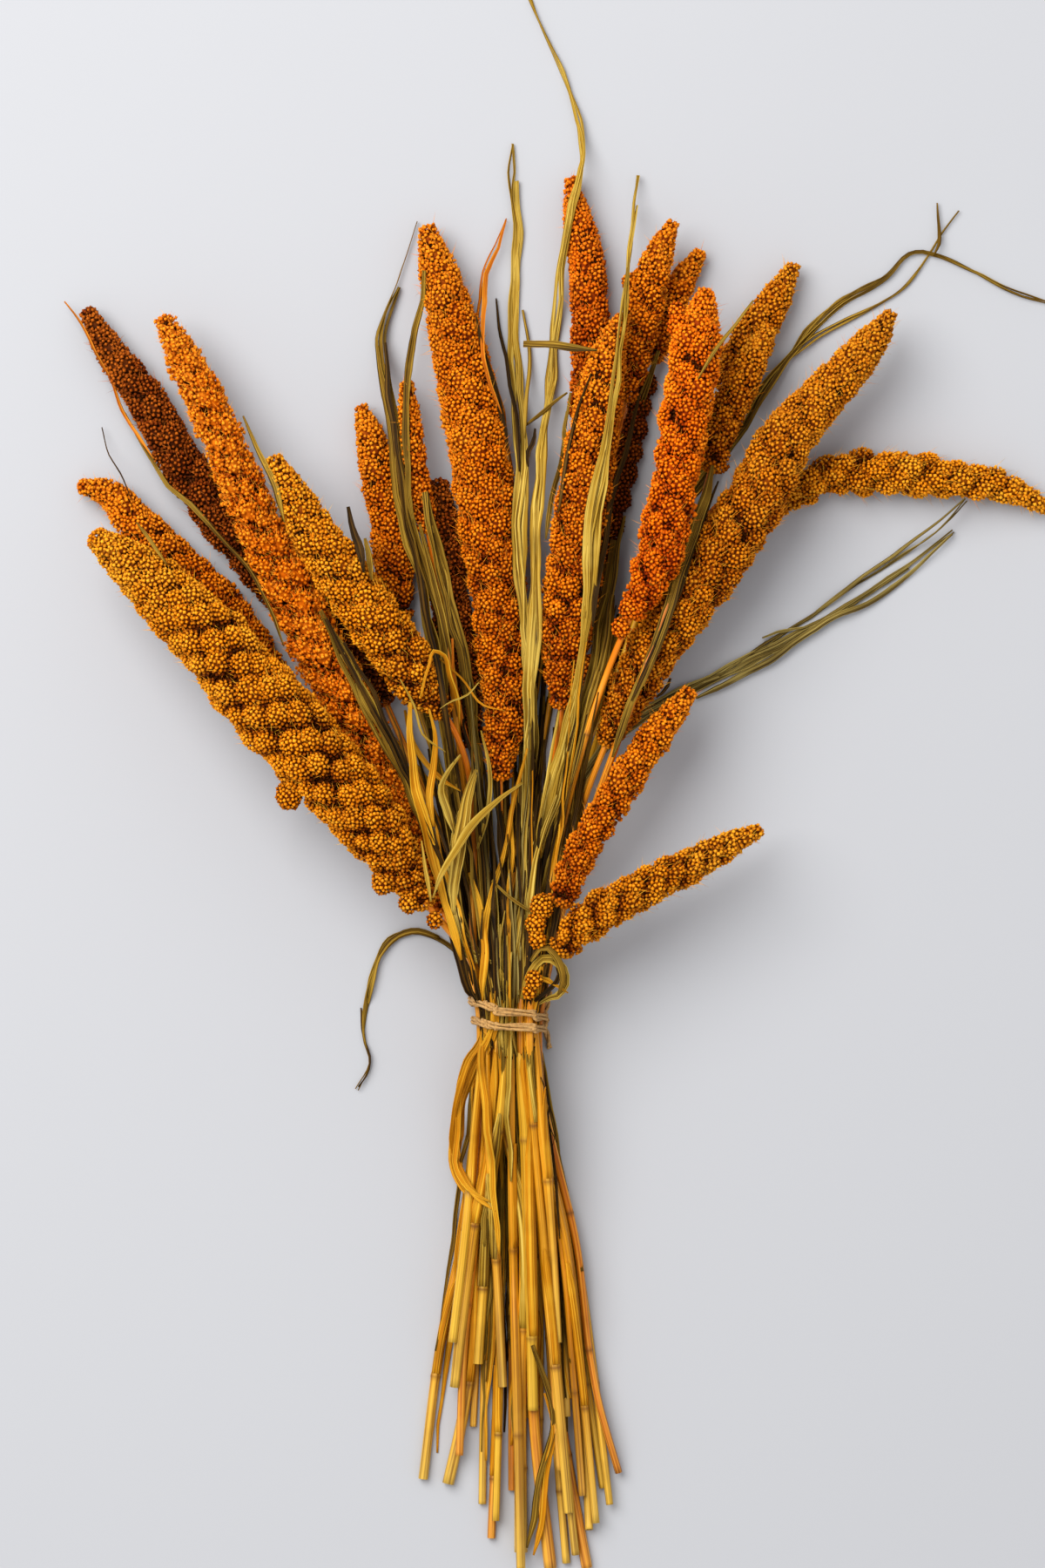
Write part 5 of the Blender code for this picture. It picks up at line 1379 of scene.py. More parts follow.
class Panicle:
    """The lobes of one seed head, placed as its solid's are, and as high as its style says."""

    def __init__(self, name, stations, height, draw):
        line = stations[:, POINT]
        self.at = np.concatenate([[0.0], np.cumsum(np.linalg.norm(np.diff(line, axis=0), axis=1))])
        self.spine = np.column_stack([stations, *frame_along(line)])
        pitch = LOBE_PITCHES.get(name, LOBE_PITCH)
        around = max(LEAST_AROUND, int(round(2 * math.pi * stations[:, RADIUS].max() / pitch)))
        rings = lobe_rows(self.at, stations[:, RADIUS], around)
        number = np.arange(len(rings))
        row, column = np.meshgrid(number[:-1], np.arange(around), indexing="ij")
        row, column = row.ravel() + 0.25 + 0.5 * (column.ravel() % 2), column.ravel() + 0.5
        count = len(row)
        tall = np.interp(row + 0.5, number, rings) - np.interp(row - 0.5, number, rings)
        middle = np.interp(row, number, rings)
        turn = 2 * math.pi * (column + LOBE_TWIST * row) / around
        here = along_spine(self.spine, self.at, middle)
        wide = 2 * math.pi * here[:, RADIUS] / around
        self.relief = LOBE_RELIEF * LOBE_DEPTH * height * 2 * math.pi / around
        size = LOBE_SPREAD * draw.uniform(*LOBE_SIZES, count)
        high = draw.uniform(*LOBE_HEIGHTS, count)
        self.half_tall = size * tall / 2
        self.half_wide = size * wide / 2
        self.middle = middle + draw.normal(0, LOBE_STRAY, count) * tall
        self.turn = turn + draw.normal(0, LOBE_STRAY, count) * wide / here[:, RADIUS]
        share = np.clip(self.middle / self.at[-1], 0.0, 1.0)
        # Painted shade: lobes darker towards the head's base, with random tone for each lobe
        tint = TINT_AT_TIP - TINT_SHADE_FALL * share + draw.normal(0, TINT_STRAY, count)
        self.tint = np.clip(tint, 0.0, 1.0)
        # How strong the painted shade low on each lobe is: more towards the base, and on heads whose lobes
        # stand out further
        self.shadow = np.clip((SHADOW_AT_TIP + SHADOW_GROWTH * share) * height, 0.0, 1.0)
        self.rise = swung(self.turn, here[:, SIDE], here[:, UP])[:, 2]
        self.depth = self.valley(self.middle)
        self.top = 1 + 0.5 * self.relief * (high - 1)
        self.bump = here[:, RADIUS] * self.depth

    def valley(self, s):
        """How deep the valleys between lobes are, as a share of the radius there."""
        return self.relief * (VALLEY_AT_TIP + VALLEY_GROWTH * s / self.at[-1])

    def placed(self, lobe, along, across, height, inset):
        """Points on the lobes, and the forward, outward and sideways vectors there."""
        s = self.middle[lobe] + self.half_tall[lobe] * (along - 2 * LOBE_LEAN * height)
        here = along_spine(self.spine, self.at, np.clip(s, 0.0, self.at[-1]))
        turn = self.turn[lobe] + across * self.half_wide[lobe] / here[:, RADIUS]
        forward = here[:, FORWARD]
        outward = swung(turn, here[:, SIDE], here[:, UP])
        sideways = swung(turn, here[:, UP], -here[:, SIDE])
        reach = here[:, RADIUS] * (self.top[lobe] - self.depth[lobe] * (1 - height)) - inset
        beyond = np.minimum(s, 0.0) + np.maximum(s - self.at[-1], 0.0)
        points = here[:, POINT] + np.maximum(reach, LOBE_REACH)[:, None] * outward
        return points + beyond[:, None] * forward, forward, outward, sideways


def beads(grain, centres, axes, sizes, spins, shade, finish=0):
    """A grain at each place, kept above the floor, with painted shade making its foot darker than its tip.
    """
    centres[:, 2] = np.maximum(centres[:, 2], sizes)
    points, faces = copies(*grain, centres, axes, np.column_stack([sizes, sizes * GRAIN_STRETCH]), spins)
    shade = np.repeat(shade, len(grain[0]), axis=0)
    tips = np.tile(grain[0][:, 2], len(centres)) > 0.5
    shade[:, 1] *= np.where(tips, 1.0, GRAIN_FOOT_SHADE)
    return points, faces, finish, shade


def grain_part(grain, centres, axes, bright, settings, draw, finish=0):
    """A grain at each place, each with its own size and tint, and all with one lobe tint."""
    count = len(centres)
    sizes = settings.grain_radius * draw.uniform(*GRAIN_SIZES, count)
    spins = draw.uniform(*ANY_TURN, count)
    tints = draw.uniform(0, 1, count)
    shade = np.column_stack([tints, bright, np.full(count, draw.uniform(*EXTRA_TINTS))])
    return beads(grain, centres, axes, sizes, spins, shade, finish)


def cap_grains(head, settings, grain, draw):
    """The grains that close the tip and the foot of a seed head, in painted shade at the rim and painted
    light towards the very end.
    """
    parts = []
    for end, away in ((head.spine[0], -1.0), (head.spine[-1], 1.0)):
        radius = max(end[RADIUS] - GRAIN_SINK, CAP_RADIUS)
        count = max(FEWEST_GRAINS, int(2 * math.pi * radius**2 * CAP_REACH / settings.grain_area))
        k = np.arange(count)
        up = 1 - (k + 0.5) / count
        around = swung(k * GOLDEN_ANGLE, end[SIDE], end[UP])
        way = CAP_REACH * away * up[:, None] * end[FORWARD] + np.sqrt(1 - up**2)[:, None] * around
        axes = unit(way + draw.normal(0, CAP_TILT, way.shape))
        bright = CAP_SHADE + CAP_PAINTED_LIGHT * up
        parts.append(grain_part(grain, end[POINT] + radius * way, axes, bright, settings, draw))
    return parts


def gap_grains(head, settings, grain, draw):
    """The grains that fill the gaps that the lobes leave on the upper side of a seed head, dark with
    painted shade.
    """
    pitch = GAP_PITCH * math.sqrt(settings.grain_area)
    rows = []
    for number, s in enumerate(np.arange(pitch, head.at[-1], pitch)):
        radius = np.interp(s, head.at, head.spine[:, RADIUS])
        count = max(GAP_FEWEST, int(2 * math.pi * radius / pitch))
        turn = 2 * math.pi * (np.arange(count) + 0.5 * (number % 2)) / count
        away = (turn[:, None] - head.turn + math.pi) % (2 * math.pi) - math.pi
        near = ((s - head.middle) / head.half_tall) ** 2 + (away * radius / head.half_wide) ** 2
        rows.append(np.column_stack([np.full(count, s), turn])[near.min(axis=1) > GAP_LIMIT])
    s, turn = np.vstack(rows).T
    here = along_spine(head.spine, head.at, s)
    outward = swung(turn, here[:, SIDE], here[:, UP])
    reach = here[:, RADIUS] * (1 - head.valley(s)) - GRAIN_SINK
    centres = here[:, POINT] + reach[:, None] * outward
    upper = outward[:, 2] > UNDERSIDE
    count = upper.sum()
    axes = unit(outward[upper] + draw.normal(0, GRAIN_TILT, (count, 3)))
    return grain_part(grain, centres[upper], axes, np.full(count, GAP_SHADE), settings, draw)


def lobe_grains(head, looseness, settings, grain, draw):
    """The grains on the lobes: their part, centres and axes, and forward and outward there."""
    under = head.rise < UNDERSIDE
    cover = settings.grain_area * np.where(under, UNDERSIDE_THINNING, 1.0)
    flat = head.half_tall * head.half_wide
    round_area = 2 * math.pi * np.sqrt(flat) * (np.sqrt(flat) + head.bump) / 2 * (1 - LOBE_FOOT)
    each = np.maximum(FEWEST_GRAINS, np.round(round_area / cover)).astype(int)
    lobe = np.repeat(np.arange(len(each)), each)
    count = len(lobe)
    k = np.concatenate([np.arange(n) for n in each])
    up = 1 - (k + 0.5) / each[lobe] * (1 - LOBE_FOOT)
    out = np.sqrt(1 - up**2)
    swing = k * GOLDEN_ANGLE + draw.uniform(*ANY_TURN, len(each))[lobe]
    stray = looseness * GRAIN_STRAY / np.maximum(head.half_tall[lobe], 1.0)
    along = out * np.cos(swing) + draw.normal(0, 1, count) * stray
    across = out * np.sin(swing) + draw.normal(0, 1, count) * stray
    lift = GRAIN_SINK - looseness * np.abs(draw.normal(0, GRAIN_LIFT, count))
    centres, forward, outward, sideways = head.placed(lobe, along, across, up, lift)
    axes = unit(up[:, None] * outward + along[:, None] * forward + across[:, None] * sideways
                - GRAIN_LEAN * forward + draw.normal(0, GRAIN_TILT * looseness**0.5, centres.shape))
    growth = np.where(under, UNDERSIDE_GROWTH, 1.0)[lobe]
    sizes = settings.grain_radius * growth * draw.uniform(*GRAIN_SIZES, count)
    # Painted shade: the lower a grain sits on its lobe, the darker it is, and more so towards the head's
    # base
    bright = 1 - (1 - up) * head.shadow[lobe]
    shade = np.column_stack([draw.uniform(0, 1, count), bright, head.tint[lobe]])
    part = beads(grain, centres, axes, sizes, draw.uniform(*ANY_TURN, count), shade)
    return part, centres, axes, forward, outward


def dome_part(head, dome_shade):
    """The low domes under the grains of the lobes, in painted shade that darkens towards their feet."""
    dome, faces = dome_shape()
    count = len(head.middle)
    lobe = np.repeat(np.arange(count), len(dome))
    along, across, height = np.tile(dome, (count, 1)).T
    points = head.placed(lobe, along, across, height, DOME_INSET)[0]
    keep_above(points, DOME_LOWEST)
    bright = np.clip(dome_shade * height, 0.0, 1.0)
    shade = np.column_stack([np.full(len(lobe), DOME_SHADE_TINT), bright, head.tint[lobe]])
    return points, repeated(faces, count, len(dome)), 0, shade


def core_part(head):
    """The core of a seed head, which closes what its domes leave open, dark with painted shade."""
    at = np.linspace(0.0, head.at[-1], max(CORE_RINGS, int(head.at[-1] / CORE_STEP)))
    core = along_spine(head.spine, head.at, at)
    reach = np.maximum(core[:, RADIUS] * (1 - head.valley(at)) - CORE_SINK, CORE_RADIUS)
    points, faces = tube(core[:, POINT], reach, CORE_SIDES)
    keep_above(points, CORE_LOWEST)
    return points, faces, 0, np.tile(CORE_SHADE, (len(points), 1))


def bristle_part(centres, axes, forward, outward, chance, length, bristle, draw):
    """The bristles between the grains that are on the upper side of a seed head."""
    chosen = draw.random(len(centres)) < chance
    chosen &= outward[:, 2] > UNDERSIDE
    root = centres[chosen]
    way = unit(BRISTLE_OUT * axes[chosen] - BRISTLE_BACK * forward[chosen]
               + draw.normal(0, BRISTLE_STRAY, root.shape))
    lengths = length * draw.uniform(*BRISTLE_LENGTHS, (len(root), 1))
    sizes = np.column_stack([np.full(len(root), BRISTLE_WIDTH), lengths])
    points, faces = copies(*bristle, root, way, sizes, np.zeros(len(root)))
    shade = np.ones((len(root), 3))
    shade[:, 0] = draw.uniform(0, 1, len(root))
    return points, faces, 1, np.repeat(shade, len(bristle[0]), axis=0)


def head_parts(name, stations, settings, grain, bristle):
    """The grains, the domes under them, the core and the bristles of one seed head."""
    draw = np.random.default_rng(HEAD_SEED + LAYING.index(name))
    style, bristle_length, bristle_share, height, looseness = HEAD_STYLES[name]
    stations = stations * [1.0, 1.0, 1.0, HEAD_GIRTHS.get(name, 1.0)]
    head = Panicle(name, stations, height, draw)
    grains, *places = lobe_grains(head, looseness, settings, grain, draw)
    parts = [grains, *cap_grains(head, settings, grain, draw), gap_grains(head, settings, grain, draw)]
    parts += [dome_part(head, LOOSE_DOME_SHADE if style is FLUFFY else DOME_SHADE), core_part(head)]
    chance = settings.bristles_per_grain * bristle_share
    length = settings.bristle_length * bristle_length
    parts.append(bristle_part(*places, chance, length, bristle, draw))
    return parts


def new_material(name, roughness, specular=0.5):
    """A material with its nodes: returns it, its tree and its Principled shader."""
    made = bpy.data.materials.new(name)
    made.use_nodes = True
    shader = made.node_tree.nodes["Principled BSDF"]
    shader.inputs["Roughness"].default_value = roughness
    shader.inputs["Specular IOR Level"].default_value = specular
    return made, made.node_tree, shader


def mix_colour(tree, first, second, factor):
    """A colour mix node. Each of the three may be a socket or a plain value."""
    node = tree.nodes.new("ShaderNodeMix")
    node.data_type = "RGBA"
    for socket, value in zip((node.inputs[6], node.inputs[7], node.inputs[0]), (first, second, factor)):
        if isinstance(value, bpy.types.NodeSocket):
            tree.links.new(value, socket)
        elif isinstance(value, (int, float)):
            socket.default_value = value
        else:
            socket.default_value = (*value, 1.0)
    return node.outputs[2]


def map_range(tree, value, low, high, strength=1.0):
    """A socket that runs from nothing at the low value to its full strength at the high one."""
    node = tree.nodes.new("ShaderNodeMapRange")
    tree.links.new(value, node.inputs[0])
    for socket, number in zip(node.inputs[1:5], (low, high, 0.0, strength)):
        socket.default_value = number
    return node.outputs[0]


def layered(tree, body, colours, drivers, mixes):
    """A colour after all of its mixes, each towards one colour and driven by one value."""
    for colour, driver, low, high, strength in mixes:
        share = map_range(tree, drivers[driver], low, high, strength)
        body = mix_colour(tree, body, colours[colour], share)
    return body


def noise(tree, vector, scale, detail=3.0):
    node = tree.nodes.new("ShaderNodeTexNoise")
    tree.links.new(vector, node.inputs["Vector"])
    node.inputs["Scale"].default_value = scale
    node.inputs["Detail"].default_value = detail
    return node.outputs["Fac"]


def shade_values(tree, name="shade"):
    """The three values of an attribute, as sockets."""
    node = tree.nodes.new("ShaderNodeAttribute")
    node.attribute_name = name
    split = tree.nodes.new("ShaderNodeSeparateXYZ")
    tree.links.new(node.outputs["Vector"], split.inputs[0])
    return split.outputs[0], split.outputs[1], split.outputs[2]


def object_place(tree):
    return tree.nodes.new("ShaderNodeTexCoord").outputs["Object"]


def node_group(name, inputs, outputs):
    """An empty node group with named sockets: returns it and its input and output nodes."""
    group = bpy.data.node_groups.new(name, "ShaderNodeTree")
    for way, sockets in (("INPUT", inputs), ("OUTPUT", outputs)):
        for label, kind in sockets:
            group.interface.new_socket(name=label, in_out=way, socket_type="NodeSocket" + kind)
    given = group.nodes.new("NodeGroupInput").outputs
    return group, given, group.nodes.new("NodeGroupOutput").inputs


def grain_group():
    """Colour of a grain: its own tint, patches, its lobe's tint, and painted light by height: a highlight
    on lobe tops, shade in the creases.
    """
    if "millet grain colour" in bpy.data.node_groups:
        return bpy.data.node_groups["millet grain colour"]
    inputs = [(label, "Color") for label in ("Main", "Dark", "Pale", "Crease shade")]
    inputs += [(label, "Float") for label in ("Tint", "Height", "Lobe")]
    tree, given, result = node_group("millet grain colour", inputs + [("Place", "Vector")],
                                     [("Colour", "Color")])
    drivers = {label: given[label] for label in ("Tint", "Height", "Lobe")}
    drivers["Patch"] = map_range(tree, noise(tree, given["Place"], PATCH_SCALE), 0.35, 0.65)
    body = layered(tree, given["Main"], given, drivers, GRAIN_MIXES)
    # Painted shade: low on a lobe and at a grain's foot, the colour turns dark and then to the crease
    # colour
    for label, low, high in GRAIN_DEPTHS:
        body = mix_colour(tree, given[label], body, map_range(tree, given["Height"], low, high))
    tree.links.new(body, result[0])
    return tree


def grain_material(name, style, crevice_shade):
    """Dull grains, almost without gloss."""
    made, tree, shader = new_material(name, roughness=0.7, specular=0.05)
    node = tree.nodes.new("ShaderNodeGroup")
    node.node_tree = grain_group()
    for socket, colour in zip(node.inputs, [linear(c) for c in style] + [crevice_shade]):
        socket.default_value = (*colour, 1.0)
    for socket, value in zip(list(node.inputs)[4:], [*shade_values(tree), object_place(tree)]):
        tree.links.new(value, socket)
    tree.links.new(node.outputs[0], shader.inputs["Base Color"])
    return made


def bristle_material(name, style):
    """Thin bristles from the grain's own colour to its pale one."""
    made, tree, shader = new_material(name, roughness=0.5, specular=0.2)
    tint = shade_values(tree)[0]
    body = mix_colour(tree, linear(style[0]), linear(style[2]), tint)
    tree.links.new(body, shader.inputs["Base Color"])
    return made


def fibre_group():
    """Streaks along dry straw and leaf, with blotches: a colour and a height."""
    if "dry fibre" in bpy.data.node_groups:
        return bpy.data.node_groups["dry fibre"]
    inputs = [(label, "Color") for label in ("Main", "Dark", "Pale")]
    inputs += [(label, "Vector") for label in ("Along the fibre", "Place")]
    tree, given, result = node_group("dry fibre", inputs + [("Contrast", "Float")],
                                     [("Colour", "Color"), ("Height", "Float")])
    fine = map_range(tree, noise(tree, given["Along the fibre"], 1.0, 2.5), 0.34, 0.66)
    patch = map_range(tree, noise(tree, given["Place"], PATCH_SCALE), 0.3, 0.7)
    deep = tree.nodes.new("ShaderNodeMath")
    deep.operation = "MULTIPLY"
    tree.links.new(map_range(tree, fine, 0.5, 0.95), deep.inputs[0])
    tree.links.new(given["Contrast"], deep.inputs[1])
    body = mix_colour(tree, given["Main"], given["Dark"], deep.outputs[0])
    body = layered(tree, body, given, {"Fine": fine, "Patch": patch}, FIBRE_MIXES)
    tree.links.new(body, result[0])
    tree.links.new(fine, result[1])
    return tree


def dry_fibre(tree, colours, along_fibre, contrast):
    """The shared streaks, placed in one material: returns its colour and height."""
    node = tree.nodes.new("ShaderNodeGroup")
    node.node_tree = fibre_group()
    for socket, colour in zip(node.inputs, colours):
        if isinstance(colour, bpy.types.NodeSocket):
            tree.links.new(colour, socket)
        else:
            socket.default_value = (*colour, 1.0)
    tree.links.new(along_fibre, node.inputs[3])
    tree.links.new(object_place(tree), node.inputs[4])
    node.inputs[5].default_value = contrast
    return node.outputs[0], node.outputs[1]


def joined(tree, values):
    node = tree.nodes.new("ShaderNodeCombineXYZ")
    for socket, value in zip(node.inputs, values):
        tree.links.new(value, socket)
    return node.outputs[0]


def stretched(tree, vector, scale):
    node = tree.nodes.new("ShaderNodeMapping")
    node.inputs["Scale"].default_value = scale
    tree.links.new(vector, node.inputs["Vector"])
    return node.outputs[0]


def bumped(tree, shader, height, strength, distance):
    bump = tree.nodes.new("ShaderNodeBump")
    bump.inputs["Strength"].default_value = strength
    bump.inputs["Distance"].default_value = distance
    tree.links.new(height, bump.inputs["Height"])
    tree.links.new(bump.outputs[0], shader.inputs["Normal"])


def straw_material(name, settings):
    """Culms: golden to pale along their length, orange under the heads, with dark rings, and painted shade
    in the ring colour inside their hollow ends.
    """
    made, tree, shader = new_material(name, roughness=0.42, specular=0.22)
    along, ring, hue = shade_values(tree)
    colours = {"Gold": settings.gold, "Pale": settings.pale,
               "Russet": linear(RUSSET_STRAW), "Yellow": linear(YELLOW_STRAW)}
    body = layered(tree, linear(UNDER_HEAD), colours, {"Along": along, "Hue": hue}, STRAW_MIXES)
    deep = mix_colour(tree, body, linear(STREAK_DARK), 0.78)
    pale = mix_colour(tree, body, linear(STREAK_PALE), 0.5)
    streaks = stretched(tree, joined(tree, shade_values(tree, "fibre")), STRAW_STREAKS)
    body, height = dry_fibre(tree, (body, deep, pale), streaks, contrast=0.85)
    body = mix_colour(tree, body, settings.ring, ring)
    tree.links.new(body, shader.inputs["Base Color"])
    bumped(tree, shader, height, strength=0.35, distance=0.0003)
    return made


def leaf_material(name, style):
    """Dry leaf: fibres along the blade and blotches."""
    made, tree, shader = new_material(name, roughness=0.6, specular=0.1)
    streaks = stretched(tree, joined(tree, shade_values(tree)), LEAF_STREAKS)
    contrast = 0.5 if style in (GOLD, RUST) else 0.95
    body, height = dry_fibre(tree, [linear(colour) for colour in style], streaks, contrast)
    tree.links.new(body, shader.inputs["Base Color"])
    bumped(tree, shader, height, strength=0.6, distance=0.0005)
    return made


def finish_for(style):
    """The leaf material of one style, made once."""
    name = "leaf " + next(label for label, colours in STYLE_NAMES.items() if colours is style)
    return bpy.data.materials.get(name) or leaf_material(name, style)


def straw_finishes(settings):
    """The straw material, made once, and those of the sheaths that cling to a culm."""
    straw = bpy.data.materials.get("dry straw") or straw_material("dry straw", settings)
    return [straw] + [finish_for(style) for style in SHEATH_STYLES]


def ring_places(length, draw):
    """How far from a culm's top its rings are, the lowest first."""
    rings = []
    spot = length - draw.uniform(*FIRST_RING)
    while spot > LAST_RING:
        rings.append(spot)
        spot -= draw.uniform(*RING_SPACING)
    return rings


def culm_parts(stations, draw, first=0.0):
    """A culm with rings, hollow at its cut end, and the dry sheaths that cling to it.

    Its colours start as far along as the given share, for a straw whose head is not shown.
    """
    knots = knots_of(stations)
    length = knots[-1]
    rings = ring_places(length, draw)
    where = list(np.arange(0.0, length, CULM_STEP)) + [length]
    for ring in rings:
        where = [w for w in where if abs(w - ring) > RING_CLEARANCE]
        where += [ring + step for step in RING_STEPS]
    where = np.array(sorted(w for w in where if 0 <= w <= length))
    fine = smooth_values(knots, stations, where)
    nearest = np.min([np.abs(where - ring) for ring in rings + [NO_RING]], axis=0)
    swell = np.exp(-(nearest / NODE_REACH) ** 2)
    radii = fine[:, 3] * (1 + NODE_SWELL * swell)
    line = fine[:, :3]
    inward = unit(line[-2:-1] - line[-1:])
    hollow = np.vstack([line, line[-1:], line[-1:] + inward * STRAW_DEPTH])
    bore = np.concatenate([radii, [fine[-1, 3] * (1 - STRAW_WALL)] * 2])
    side, up = (np.vstack([way, way[-1:], way[-1:]]) for way in cross_vectors(line))
    points = np.vstack([round_rings(hollow, bore, side, up, CULM_SIDES), hollow[:1], hollow[-1:]])
    hue = draw.uniform()
    # The ring colour marks the rings and, as painted shade, the inside of the hollow end
    mask = np.concatenate([swell * draw.uniform(*RING_STAIN), HOLLOW_SHADE])
    share = np.concatenate([first + (1 - first) * where / length, [1.0, 1.0]])
    values = np.column_stack([share, mask, np.full(len(share), hue)])
    shade = np.vstack([np.repeat(values, CULM_SIDES, axis=0), values[:1], values[-1:]])
    around = np.tile(turns_round(CULM_SIDES) * fine[:, 3].mean(), len(hollow))
    fibre = [np.append(around, [0.0, 0.0]), shade[:, 0] * length / STREAK_LENGTH, shade[:, 2]]
    parts = [(points, ring_faces(len(hollow), CULM_SIDES), 0, np.column_stack([shade, *fibre]))]
    top = np.interp(SHEATH_TOP, -stations[:, 1], knots)
    for ring in rings:
        upper = max(ring - draw.uniform(*SHEATH_LENGTHS), top)
        if ring - upper > SHORTEST_SHEATH and draw.random() < SHEATH_SHARE:
            parts.append(sheath_part(knots, stations, upper, ring - SHEATH_BELOW_RING, draw))
    return parts


def fibre_shade(span, where, draw):
    """Shade of one side of a sheet: how far across and along each point is, and one tone."""
    across, along = np.meshgrid(np.linspace(0, span, SHEET_COLUMNS), where / FIBRE_LENGTH)
    return np.column_stack([across.ravel(), along.ravel(), np.full(across.size, draw.uniform())])


def sheath_part(knots, stations, upper, lower, draw):
    """A strip of dry sheath round part of a culm, from a ring up to its torn end."""
    where = spaced(upper, lower, STRAND_STEP)
    fine = smooth_values(knots, stations, where)
    side, up = cross_vectors(fine[:, :3])
    rows = len(where)
    share = (where - upper) / (lower - upper)
    centre = math.pi / 2 + draw.uniform(*SHEATH_LEAN)
    centre = centre + SHEATH_WIND * np.sin(share * SHEATH_WIND_RATE + draw.uniform(*ANY_PHASE))
    spread = draw.uniform(*SHEATH_SPREAD) * np.minimum(1.0, SHEATH_TIP + SHEATH_TAPER * share)
    spread = spread * (1 + EDGE_RAG * draw.standard_normal(rows))
    lift = SHEATH_LIFT + SHEATH_FLARE * np.clip(1 - SHEATH_TAPER * share, 0, 1)
    points = np.zeros((2, rows, SHEET_COLUMNS, 3))
    for j, across in enumerate(np.linspace(-1, 1, SHEET_COLUMNS)):
        outward = swung(centre + spread * across, side, up)
        for layer, depth in enumerate((SHEET_HALF, -SHEET_HALF)):
            points[layer, :, j] = fine[:, :3] + (fine[:, 3] + lift + depth)[:, None] * outward
    shade = np.tile(fibre_shade(SHEATH_FIBRES, where, draw), (2, 2))
    return points.reshape(-1, 3), sheet_faces(rows, SHEET_COLUMNS), int(draw.integers(1, 4)), shade


def sheet_faces(rows, columns):
    """Quads of a closed sheet whose upper points come first and lower points after."""
    lower = rows * columns
    i, j = np.meshgrid(np.arange(rows - 1), np.arange(columns - 1), indexing="ij")
    a = (i * columns + j).ravel()
    top = np.column_stack([a, a + 1, a + columns + 1, a + columns])
    under = top[:, ::-1] + lower
    rim = np.concatenate([
        np.arange(columns - 1), (np.arange(rows - 1) + 1) * columns - 1,
        (rows - 1) * columns + np.arange(columns - 1, 0, -1), np.arange(rows - 1, 0, -1) * columns])
    ahead = np.roll(rim, -1)
    edge = np.column_stack([rim, rim + lower, ahead + lower, ahead])
    return [top, under, edge]


def wavering(where, end, values):
    """Values that lie evenly spread over a length, read at the given distances."""
    return np.interp(where, np.linspace(0, end, len(values)), values)


def blade_part(stations, draw, rolls=(0.0, 0.0), finish=0, step=LEAF_STEP):
    """One dry blade: folded, pleated and a little ragged, as a thin closed sheet."""
    knots = knots_of(stations)
    end = knots[-1]
    where = spaced(0.0, end, step)
    fine = smooth_values(knots, stations, where)
    rows = len(where)
    bends = max(FEWEST_BENDS, int(end / BEND_SPACING))
    wobble = wavering(where, end, draw.uniform(-BEND_TURN, BEND_TURN, bends))
    turn = np.radians(np.interp(where, [0.0, end], rolls) + wobble)
    drift = wavering(where, end, np.cumsum(draw.uniform(-PLEAT_DRIFT, PLEAT_DRIFT, bends)))
    kinks = max(FEWEST_BENDS, int(end / KINK_SPACING))
    kink = wavering(where, end, draw.normal(0, KINK_SIZE, kinks))
    run = unit(np.gradient(fine[:, :2], axis=0))
    edges = [wavering(where, end, edge) for edge in draw.normal(1, EDGE_SWING, (2, kinks))]
    ragged = np.column_stack(edges) + EDGE_RAG * draw.standard_normal((rows, 2))
    taper = np.clip(ROOT_WIDTH + (end - where) / LEAF_TAPER, ROOT_WIDTH, 1.0)
    width = np.maximum(fine[:, 3], NARROWEST) * taper
    points = np.zeros((2, rows, SHEET_COLUMNS, 3))
    for j, share in enumerate(np.linspace(-1, 1, SHEET_COLUMNS)):
        across = width * (ragged[:, 0] if share < 0 else ragged[:, 1]) / 2 * share
        rise = width * FOLD_SHARE * (abs(share) - FOLD_MIDDLE)
        rise = rise + PLEAT_SHARE * width * np.sin(2 * math.pi * (PLEATS * share + drift))
        for layer, depth in enumerate((SHEET_HALF, -SHEET_HALF)):
            lift = rise + depth
            sideways = across * np.cos(turn) - lift * np.sin(turn) + kink
            points[layer, :, j, 0] = fine[:, 0] - run[:, 1] * sideways
            points[layer, :, j, 1] = fine[:, 1] + run[:, 0] * sideways
            points[layer, :, j, 2] = fine[:, 2] + across * np.sin(turn) + lift * np.cos(turn)
    shade = fibre_shade(min(1.0, FIBRES_ACROSS * width.max()), where, draw)
    return points.reshape(-1, 3), sheet_faces(rows, SHEET_COLUMNS), finish, np.vstack([shade, shade])


def split_blade(stations, rolls, draw):
    """One dry blade torn lengthwise into strips that overlap."""
    count = 3 if stations[:, 3].max() > WIDE_BLADE else 2
    reach = STRIP_REACH * (count - 1)
    knots = knots_of(stations)
    run = unit(np.gradient(stations[:, :2], axis=0))
    parts = []
    for place in np.linspace(-reach, reach, count):
        wave = np.sin(knots / draw.uniform(*STRIP_WAVE_LENGTHS) + draw.uniform(*ANY_PHASE))
        shift = stations[:, 3] * (place + STRIP_WAVE * wave)
        strip = stations.copy()
        strip[:, 0] -= run[:, 1] * shift
        strip[:, 1] += run[:, 0] * shift
        strip[:, 2] += draw.uniform(*STRIP_LIFTS)
        strip[:, 3] *= draw.uniform(*STRIP_WIDTHS)
        if parts:
            strip = strip[draw.integers(0, max(2, len(strip) // STRIP_SHORTENING)):]
        parts.append(blade_part(strip, draw, rolls + draw.uniform(-STRIP_ROLL, STRIP_ROLL, 2)))
    return parts


